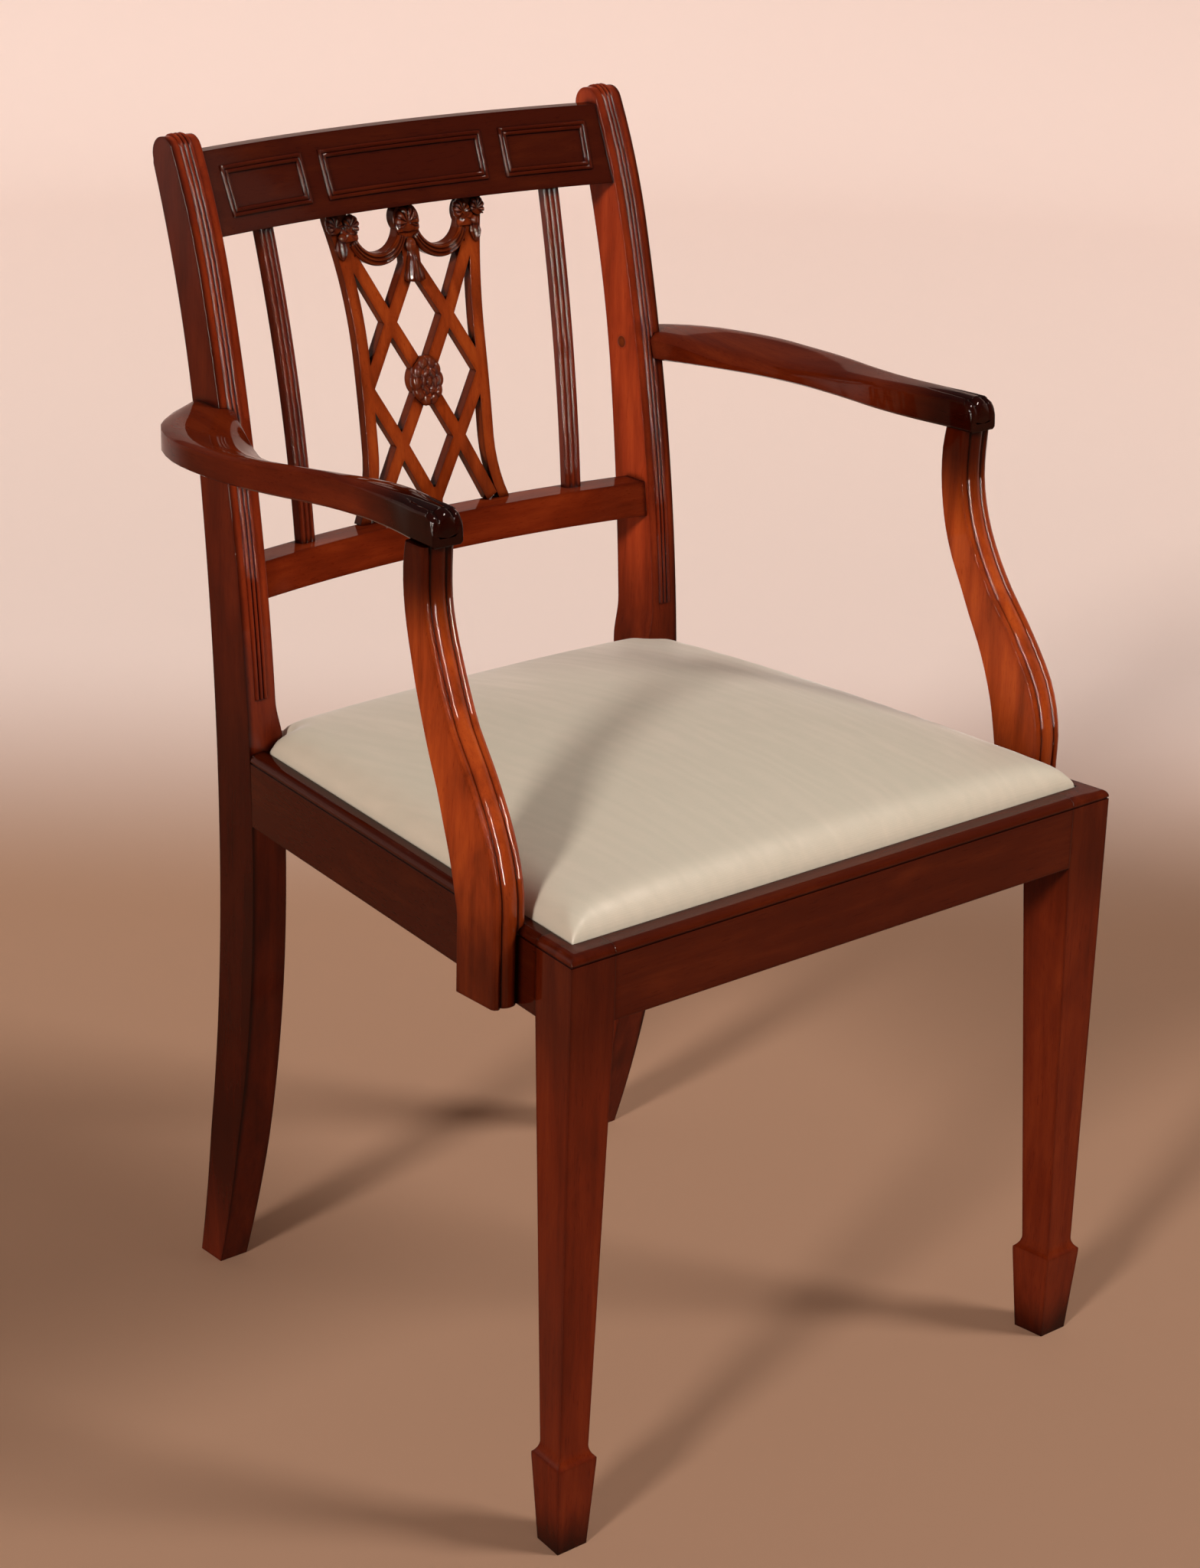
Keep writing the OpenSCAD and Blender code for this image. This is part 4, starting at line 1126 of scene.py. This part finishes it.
        # Height over the knot and half-width of each ring, upwards.
        profile = [(-26.2, 8.2), (-25.4, 9.2), (-22, 8.8), (-18, 7.2), (-13, 5.4), (-8.5, 3.9),
                   (-6, 2.9), (-4.8, 2.9), (-3.6, 3.8), (-1.5, 4.8), (0.6, 5.0), (2.6, 4.4),
                   (4.2, 3.0), (5.0, 1.0)]
        knot_z, around = self.top_z - 30, 37
        loops = []
        for dz, half in profile:
            loop = []
            for k in range(around):
                turn = math.pi * k / (around - 1)
                ribs = 1 + (0.20 * math.cos(turn * 12) if dz < -6 else 0.0)
                h = 0.4 + min(half * 0.95, 2.6 + 0.28 * half) * math.sin(turn) * ribs
                if k in (0, around - 1):
                    h = self.foot
                loop.append(self.face(-half * math.cos(turn), knot_z + dz, h))
            loops.append(loop)
        return self.ribbon(loops)

    def build(self, material: bpy.types.Material) -> None:
        """Makes each carving.

        Args:
            material: Their finish.
        """
        made = {
            "splat_rosette": self.rosette_relief(),
            "splat_shell_middle":
                self.shell_relief(0.0, self.top_z - 22, half=10.8, tall=20, lean=0.0),
            "splat_swag_right": self.swag_relief(1),
            "splat_swag_left": self.swag_relief(-1),
            "splat_tassel": self.tassel_relief(),
        }
        for word, side in (("right", 1), ("left", -1)):
            x, z = side * self.group[0], self.top_z - self.group[1]
            made.update({
                f"splat_shell_{word}": self.shell_relief(
                    x - 9.0 * side, z + 0.5, half=7.4, tall=15, lean=-0.5 * side),
                f"splat_fan_{word}": self.shell_relief(
                    x + 4.6 * side, z + 1.5, half=6.8, tall=15, lean=0.40 * side),
                f"splat_leaf_{word}":
                    self.leaf_relief(x + 1.0 * side, z - 1.5, half=5.2, tall=15.5),
                f"splat_boss_{word}": self.boss_relief(x, z - 0.5, r=3.3),
            })
        for name, (verts, faces) in made.items():
            piece(name, verts, faces, material)


@dataclass
class DropInSeat:
    """Crowned silk seat that rests in the rails' rebate, in millimetres.

    Attributes:
        front_y: Place of its front edge.
        corner_y: Place of the rear notches' front.
        rear_y: Place of its rear edge.
        notch_x: Half the width between the notches.
        front_half: Half the frame's width at the front rail's face.
        splay: Angle that the side rails turn in by.
        lip: Width of a side rail's lip outside the seat, measured across the chair.
        gap: Room left between the seat and the rails.
        base_z: Height of the cover's underside.
        cloth_z: Height of the seat frame's underside.
        seat_z: Height of the rails' top.
        edge_rise: Height of the rolled edge over the rails.
        crown: Height of the crown over the rails.
        edge_round: Width of the rolled edge.
        side_ease: Steepness of the roll at the sides and back, against 1 in front.
        notch_reach: Distance within which the roll follows a notch.
        step: Width of the mesh's squares.
        margins: Places of its outer lines, in sixteenths of a notch's side.
        swell: How far the simulation may move the silk.
        pressure: Pressure of the simulation.
        frames: Frames that it runs for.
        pucker: Height of the puckers along the edges.
        fold: Depth of the creases at the front corners.
        members: The seat frame's own nodes; not used.
        cloth_in: How far the bottom cloth stays inside the seat's edge.
        cloth_t: Thickness of the bottom cloth.
    """

    front_y: float = 18.8
    corner_y: float = 423.577
    rear_y: float = 439.452
    notch_x: float = 177.0
    front_half: float = 253.3
    splay: float = math.radians(6.13942)
    lip: float = 13.075
    gap: float = 0.8
    base_z: float = 427.3
    cloth_z: float = 428.5
    seat_z: float = 445.0
    edge_rise: float = 18.0
    crown: float = 45.0
    edge_round: float = 22.0
    side_ease: float = 0.85
    notch_reach: float = 60.0
    step: float = 6.5
    margins: tuple[float, ...] = (0.0, 1.0, 3.0, 6.0, 10.5)
    swell: float = 5.0
    pressure: float = 4.0
    frames: int = 20
    pucker: float = 0.50
    fold: float = 2.3
    members: tuple[str, ...] = (
        "slip_front_member", "slip_back_member", "slip_left_member", "slip_right_member",
    )
    cloth_in: float = 25.4
    cloth_t: float = 0.6

    def half(self, y: float) -> float:
        """Half-width of the seat at y."""
        return self.front_half - y * math.tan(self.splay) - self.lip - self.gap

    def depth(self) -> float:
        """Depth of the seat, which also sets how many lines the mesh has."""
        return self.rear_y - self.front_y

    def lines(self, length: float, corner: float) -> list[float]:
        """Distances of the grid's lines from one edge of a stretch.

        Args:
            length: The stretch's length.
            corner: Width of the strip that holds a rear notch.

        Returns:
            The distances, rising.
        """
        count = round((self.depth() - 2 * corner) / self.step)
        edge = [m * corner / 16.0 for m in self.margins] + [corner]
        inner = [lerp(corner, length - corner, i / count) for i in range(1, count)]
        return edge + inner + [length - e for e in reversed(edge)]

    def dome(self, x: float, y: float) -> float:
        """Height of the silk over a point of the plan.

        Args:
            x: Place across.
            y: Place back from the front rail's face.

        Returns:
            The height above the floor.
        """
        half = self.half(y)
        side = min(half - abs(x), self.rear_y - y)
        if y > self.corner_y - self.notch_reach and abs(x) > self.notch_x - self.notch_reach:
            notch = math.hypot(max(self.notch_x - abs(x), 0), max(self.corner_y - y, 0))
            side = min(side, notch)
        edge = min(side * self.side_ease, y - self.front_y)
        side = 1 - min(max(edge, 0) / self.edge_round, 1)
        rim = math.sqrt(max(0.0, 1 - side * side))
        u = min(abs(x) / half, 1)
        v = min(abs(2 * (y - self.front_y) / self.depth() - 1), 1)
        swell = (1 - u ** 2.8) * (1 - v ** 2.3)
        rise = self.crown - self.edge_rise
        return self.seat_z - 1 + (self.edge_rise + 1) * rim + rise * swell

    def shell(self) -> tuple[list[Vector], list[Face], int]:
        """Closed silk cover, with its underside turned in round the bottom cloth.

        Returns:
            Corners, faces, and how many of the corners make the dome.
        """
        deep = self.rear_y - self.corner_y
        wide = self.half(self.corner_y) - self.notch_x
        ys = self.lines(self.depth(), deep)
        columns = len(self.lines(2 * self.half(self.front_y), wide))
        rows = len(ys)
        edge_n = len(self.margins)
        verts: list[Vector] = []
        for y in ys:
            place = self.front_y + y
            span = self.half(min(place, self.corner_y))
            xs = self.lines(2 * span, wide)
            verts += [at(x - span, place, self.dome(x - span, place)) for x in xs]
        dropped = {
            (i, j) for j in range(rows - 1) for i in range(columns - 1)
            if j >= rows - 1 - edge_n and (i < edge_n or i >= columns - 1 - edge_n)
        }
        faces = [
            (j * columns + i, j * columns + i + 1, (j + 1) * columns + i + 1, (j + 1) * columns + i)
            for j in range(rows - 1) for i in range(columns - 1) if (i, j) not in dropped
        ]
        return self.close(verts, faces, self.rim(columns, rows, edge_n))

    def rim(self, columns: int, rows: int, edge_n: int) -> list[int]:
        """Finds the dome's edge, counterclockwise from above.

        Args:
            columns: Corners in a row of the mesh.
            rows: Rows of the mesh.
            edge_n: Squares across a rear notch.

        Returns:
            The edge's corner numbers in order.
        """
        top, low = rows - 1, rows - 1 - edge_n
        left, right, end = edge_n, columns - 1 - edge_n, columns - 1
        # Where the edge turns, from the front left corner round.
        turns = [(0, 0), (end, 0), (end, low), (right, low), (right, top), (left, top),
                 (left, low), (0, low)]
        path = []
        for (i, j), (to_i, to_j) in zip(turns, turns[1:] + turns[:1]):
            count = max(abs(to_i - i), abs(to_j - j))
            di, dj = (to_i - i) // count, (to_j - j) // count
            path += [(j + dj * k) * columns + i + di * k for k in range(count)]
        return path

    def close(
        self, verts: list[Vector], faces: list[Face], rim: list[int],
    ) -> tuple[list[Vector], list[Face], int]:
        """Adds the sides, the turned-in edge and the underside to the dome.

        Args:
            verts: The whole grid's corners.
            faces: The dome's faces.
            rim: Corner numbers round its edge.

        Returns:
            Corners, faces, and how many of the corners make the dome.
        """
        used = sorted({i for face in faces for i in face})
        renumber = {old: new for new, old in enumerate(used)}
        verts = [verts[i] for i in used]
        faces = [tuple(renumber[i] for i in face) for face in faces]
        loop = [renumber[i] for i in rim]
        dome, count = len(verts), len(loop)
        # Height and inset of each ring, from the dome's edge in to the bottom cloth.
        for z, inset in ((self.base_z + 5, 0.0), (self.base_z + 1.2, 0.1), (self.base_z, 1.3),
                         (self.base_z, 25.0), (self.cloth_z, 25.2)):
            start = len(verts)
            verts += [self.turned_in(verts[i], inset, z) for i in loop]
            faces += [
                (loop[k], start + k, start + (k + 1) % count, loop[(k + 1) % count])
                for k in range(count)
            ]
            loop = list(range(start, start + count))
        verts.append(at(0, (self.front_y + self.rear_y) / 2, self.cloth_z))
        faces += [(loop[k], len(verts) - 1, loop[(k + 1) % count]) for k in range(count)]
        return verts, faces, dome

    def turned_in(self, corner: Vector, inset: float, z: float) -> Vector:
        """Moves a corner of the edge to another height, and in from the seat's outline.

        Args:
            corner: The corner, in metres.
            inset: Distance inwards.
            z: The new height.

        Returns:
            The new corner.
        """
        x, y = corner.x / MM, corner.y / MM + MID_Y
        half = self.notch_x if y > self.corner_y - 1 else self.half(min(y, self.corner_y))
        new_x = math.copysign(min(abs(x), half - inset), x)
        new_y = min(max(y, self.front_y + inset), self.rear_y - inset)
        if abs(x) > self.notch_x - inset - 0.01:
            new_y = min(new_y, self.corner_y - inset)
        return at(new_x, new_y, z)

    def inflate(self, silk: bpy.types.Object, dome: int) -> None:
        """Swells the dome by cloth simulation and keeps it inside its frame.

        Args:
            silk: The cover.
            dome: How many of its first corners may move.
        """
        start = [v.co.copy() for v in silk.data.vertices]
        pins = silk.vertex_groups.new(name="pins")
        low = (self.seat_z + 2.0) * MM
        pins.add([v.index for v in silk.data.vertices if v.index >= dome or v.co.z < low],
                 1.0, "REPLACE")
        cloth = silk.modifiers.new("swell", "CLOTH")
        settings = cloth.settings
        settings.effector_weights.gravity = 0.0
        settings.use_pressure = True
        settings.uniform_pressure_force = self.pressure
        settings.quality = 6
        settings.mass = 0.3
        settings.tension_stiffness = settings.compression_stiffness = 18.0
        settings.shear_stiffness = 8.0
        settings.bending_stiffness = 1.5
        settings.vertex_group_mass = pins.name
        cloth.collision_settings.use_collision = False
        scene = bpy.context.scene
        scene.frame_start, scene.frame_end = 1, self.frames
        cloth.point_cache.frame_start, cloth.point_cache.frame_end = 1, self.frames
        for number in range(1, self.frames + 1):
            scene.frame_set(number)
        depsgraph = bpy.context.evaluated_depsgraph_get()
        grown = [v.co.copy() for v in silk.evaluated_get(depsgraph).data.vertices]
        silk.modifiers.remove(cloth)
        scene.frame_set(1)
        limit = self.swell * MM
        for vertex, before, after in zip(silk.data.vertices, start, grown):
            move = after - before
            if move.length > limit:
                move *= limit / move.length
            vertex.co = before + move

    def pull(self, silk: bpy.types.Object, dome: int) -> None:
        """Pulls creases into the front corners and small puckers along the edges.

        Args:
            silk: The cover.
            dome: How many of its first corners may move.
        """
        for vertex in list(silk.data.vertices)[:dome]:
            x, y, z = vertex.co.x / MM, vertex.co.y / MM + MID_Y, vertex.co.z / MM
            a, b = self.half(y) - abs(x), y - self.front_y
            edge = min(a, b, self.rear_y - y)
            along = y if a < b else x
            near = math.exp(-max(edge, 0) / 14) * smooth(edge / 3)
            lift = self.pucker * near * math.sin(along * 0.21 + 1.3 * math.sin(along * 0.043))
            reach = math.hypot(a, b)
            crease = math.exp(-((a - b) / 2.6) ** 2) * smooth((46 - reach) / 30)
            lift -= self.fold * crease * smooth(reach / 6)
            vertex.co.z = (z + lift) * MM

    def underside(self) -> None:
        """Makes the black cloth that is stretched over the frame's underside."""
        inset, z = self.cloth_in, self.cloth_z - self.cloth_t
        first, last = self.front_y + inset, self.corner_y - inset
        wide = 2 * (self.half(self.front_y) - inset)
        narrow = 2 * (self.half(self.corner_y) - inset)
        notch = self.notch_x - inset
        steps = 18
        shares = [k / 10 for k in range(-10, 11)]
        tail = [k / 9 for k in range(-9, 10)]
        verts: list[Vector] = []
        for step in range(steps + 1):
            half = lerp(wide, narrow, step / steps) / 2
            y = lerp(first, last, step / steps)
            verts += [at(half * share, y, z) for share in shares]
        count = len(shares)
        rows = [list(range(count * step, count * (step + 1))) for step in range(steps + 1)]
        # Between the notches the last full row is as wide as the narrow row behind it.
        inner = rows[-1][1:-1]
        for index, share in zip(inner, tail):
            verts[index] = at(notch * share, last, z)
        rear = list(range(len(verts), len(verts) + len(tail)))
        verts += [at(notch * share, self.rear_y - inset, z) for share in tail]
        faces = [
            (row[k], after[k], after[k + 1], row[k + 1])
            for row, after in [*zip(rows, rows[1:]), (inner, rear)]
            for k in range(len(after) - 1)
        ]
        finish = Weave("black_cloth", (0.020, 0.019, 0.020), (0.006, 0.006, 0.006),
                       pitch=0.0006)
        cloth = piece("seat_bottom_cloth", verts, faces, finish.build(), Body.SEAT)
        thick = cloth.modifiers.new("thick", "SOLIDIFY")
        thick.thickness, thick.offset = self.cloth_t * MM * 0.8, 0.0
        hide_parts("bottom_cloth")
        area = (wide + narrow) / 2 * (last - first)
        area += 2 * notch * (self.rear_y - inset - last)

    def build(self) -> None:
        """Makes the silk cover and seats it on its frame."""
        self.underside()
        verts, faces, dome = self.shell()
        material = MoireSilk().build()
        silk = piece("silk_cover", verts, faces, material, Body.SEAT)
        self.inflate(silk, dome)
        self.pull(silk, dome)
        finer = silk.modifiers.new("finer", "SUBSURF")
        finer.levels = finer.render_levels = 1
        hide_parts("seat_cover", "seat_padding")


@dataclass
class Studio:
    """Plain pale studio: camera at the photograph's angle, floor, backdrop and lamps.

    Attributes:
        lens: Focal length in millimetres.
        yaw: Angle that the camera looks to the side by, in degrees.
        pitch: Angle that it looks down by.
        roll: Angle that it is turned by.
        camera_at: Its place, in chair millimetres.
        floor_colour: Colour of the floor.
        wall_colour: Colour of the backdrop behind the chair.
        fade: Distances behind the chair between which the floor's colour turns into the
            backdrop's, in metres.
        flat_r: Radius of the flat floor.
        bend_r: Radius of its bend.
        wall_h: Height of the backdrop.
        strip_colour: Tint of the strip lamps.
        air_colour: Tint of the light from all round.
        air: Strength of that light.
    """

    lens: float = 78.596
    yaw: float = -40.59
    pitch: float = 21.05
    roll: float = 1.54
    camera_at: Point = (-1537.1, -1521.2, 1331.2)
    floor_colour: Colour = (0.460, 0.275, 0.180)
    wall_colour: Colour = (0.930, 0.775, 0.705)
    fade: tuple[float, float] = (0.70, 1.55)
    flat_r: float = 4.2
    bend_r: float = 0.9
    wall_h: float = 3.0
    strip_colour: Colour = (1.0, 0.84, 0.74)
    air_colour: Colour = (1.0, 0.97, 0.93)
    air: float = 0.12

    def camera(self) -> None:
        """Puts the camera where the photograph was taken from."""
        yaw, pitch, roll = (math.radians(a) for a in (self.yaw, self.pitch, self.roll))
        forward = Vector((-math.sin(yaw) * math.cos(pitch), math.cos(yaw) * math.cos(pitch),
                          -math.sin(pitch)))
        level = forward.cross(Vector((0, 0, 1))).normalized()
        upward = level.cross(forward)
        right = level * math.cos(roll) + upward * math.sin(roll)
        up = upward * math.cos(roll) - level * math.sin(roll)
        data = bpy.data.cameras.new("camera")
        data.sensor_width = 36.0
        data.lens = self.lens
        data.clip_end = 50.0
        made = bpy.data.objects.new("camera", data)
        turn = Matrix((right, up, -forward)).transposed().to_4x4()
        made.matrix_world = Matrix.Translation(at(*self.camera_at)) @ turn
        show(made)
        bpy.context.scene.camera = made

    def lamp(self, data: bpy.types.Light, place: Point, target: Point) -> bpy.types.Object:
        """Puts a lamp in the scene and turns it towards a point.

        Args:
            data: The lamp.
            place: Its place, in metres.
            target: The point.

        Returns:
            The lamp's object.
        """
        made = bpy.data.objects.new(data.name, data)
        made.location = place
        facing = Vector(target) - Vector(place)
        made.rotation_euler = facing.to_track_quat("-Z", "Y").to_euler()
        show(made)
        return made

    def sun(
        self, name: str, place: Point, angle: float, power: float, colour: Colour,
        mirrored: bool = True,
    ) -> None:
        """Adds a sun that shines from a place towards the chair.

        Args:
            name: The lamp's name.
            place: Direction that the light comes from.
            angle: Angular size in degrees.
            power: Strength.
            colour: Tint of the light.
            mirrored: Whether polished surfaces reflect it.
        """
        data = bpy.data.lights.new(name, "SUN")
        data.angle = math.radians(angle)
        data.energy, data.color = power, colour
        self.lamp(data, place, (0.0, 0.0, 0.0)).visible_glossy = mirrored

    def strip(
        self, name: str, place: Point, size: tuple[float, float], power: float,
    ) -> None:
        """Adds a strip lamp that shows only as a highlight on glossy surfaces.

        Args:
            name: The lamp's name.
            place: Its middle, in metres.
            size: Width and height.
            power: Its power in watts.
        """
        data = bpy.data.lights.new(name, "AREA")
        data.shape, data.size, data.size_y = "RECTANGLE", *size
        data.energy, data.color = power, self.strip_colour
        made = self.lamp(data, place, (0.0, 0.0, 0.7))
        made.visible_camera = made.visible_diffuse = False

    def stage_material(self) -> bpy.types.Material:
        """Matt finish: a sandy floor that pales towards the backdrop behind the chair, and painted
        shade far off.

        Returns:
            The material.
        """
        g = Graph("matt_stage")
        ahead = math.radians(-self.yaw)
        depth = g.feed(
            g.node("VectorMath", operation="DOT_PRODUCT"),
            _0=g.node("TexCoord").outputs["Object"], _1=(math.sin(ahead), math.cos(ahead), 0.35),
        ).outputs[1]
        share = g.span(depth, *self.fade)
        colour = g.ramp(share, [(0.0, self.floor_colour), (1.0, self.wall_colour)])
        # Painted shade: the floor and backdrop darken further back and higher up.
        colour = g.darken(colour, g.span(depth, 2.4, 5.2), (0.84, 0.84, 0.85))
        g.feed(g.shader, Base_Color=colour, Roughness=0.9, Specular_IOR_Level=0.0)
        return g.material

    def bowl(self) -> None:
        """Makes a round floor that curves up into a backdrop on every side."""
        flat, bend, top, around = self.flat_r, self.bend_r, self.wall_h, 96
        profile = [(r, 0.0) for r in (0.5, 1.0, 2.0, flat)]
        profile += [(flat + bend * math.sin(a), bend - bend * math.cos(a))
                    for a in (math.pi / 2 * k / 12 for k in range(1, 13))]
        profile.append((flat + bend, top))
        verts = [Vector((0.0, 0.0, 0.0))]
        for r, z in profile:
            verts += [
                Vector((r * math.cos(t), r * math.sin(t), z))
                for t in (2 * math.pi * k / around for k in range(around))
            ]
        faces: list[Face] = [(0, 1 + k, 1 + (k + 1) % around) for k in range(around)]
        faces += [
            tuple(1 + i for i in reversed(face))
            for face in loop_faces(len(profile), around, False)
        ]
        mesh = bpy.data.meshes.new("stage")
        mesh.from_pydata([tuple(v) for v in verts], [], faces)
        mesh.shade_smooth()
        mesh.materials.append(self.stage_material())
        made = bpy.data.objects.new("stage", mesh)
        made.visible_shadow = False
        show(made)

    def world(self) -> None:
        """Adds soft even light from all round."""
        world = bpy.data.worlds.new("studio")
        world.use_nodes = True
        back = world.node_tree.nodes["Background"]
        back.inputs["Color"].default_value = (*self.air_colour, 1.0)
        back.inputs["Strength"].default_value = self.air
        bpy.context.scene.world = world

    def build(self) -> None:
        """Sets up the studio."""
        bpy.context.scene.view_settings.view_transform = "Standard"
        self.camera()
        self.world()
        self.bowl()
        self.sun("key", (-2.57, -0.90, 1.28), angle=9.0, power=1.90, colour=(1.0, 0.93, 0.88))
        self.sun("fill", (1.45, -1.75, 1.75), angle=17.0, power=1.72,
                 colour=(1.0, 0.95, 0.91), mirrored=False)
        self.strip("front_strip", (-0.96, -2.63, 1.40), size=(0.05, 2.2), power=115.0)
        self.strip("left_strip", (-2.75, -0.72, 1.20), size=(0.12, 1.8), power=150.0)
        self.strip("high_strip", (1.05, -1.25, 3.20), size=(0.8, 0.12), power=60.0)
        LOG.info("made studio")


def main() -> None:
    """Builds the chair's looks and the studio."""
    logging.basicConfig(level=logging.INFO, format="%(message)s")
    Studio().build()
    PackedSolids().build()
    # The carving's shorter reach keeps its old polish and painted shade to the valleys between its
    # ribs and lobes.
    carved = GoldenPolish("mahogany_carving", Grain.UPRIGHT, tone=1.15, hollow_reach=0.0040)
    beaded = FrenchPolish("mahogany_beads", Grain.ACROSS, tone=0.7)
    CrestPanels().build(beaded.build())
    SplatCarving().build(carved.build())
    DropInSeat().build()


if __name__ == "__main__":
    main()
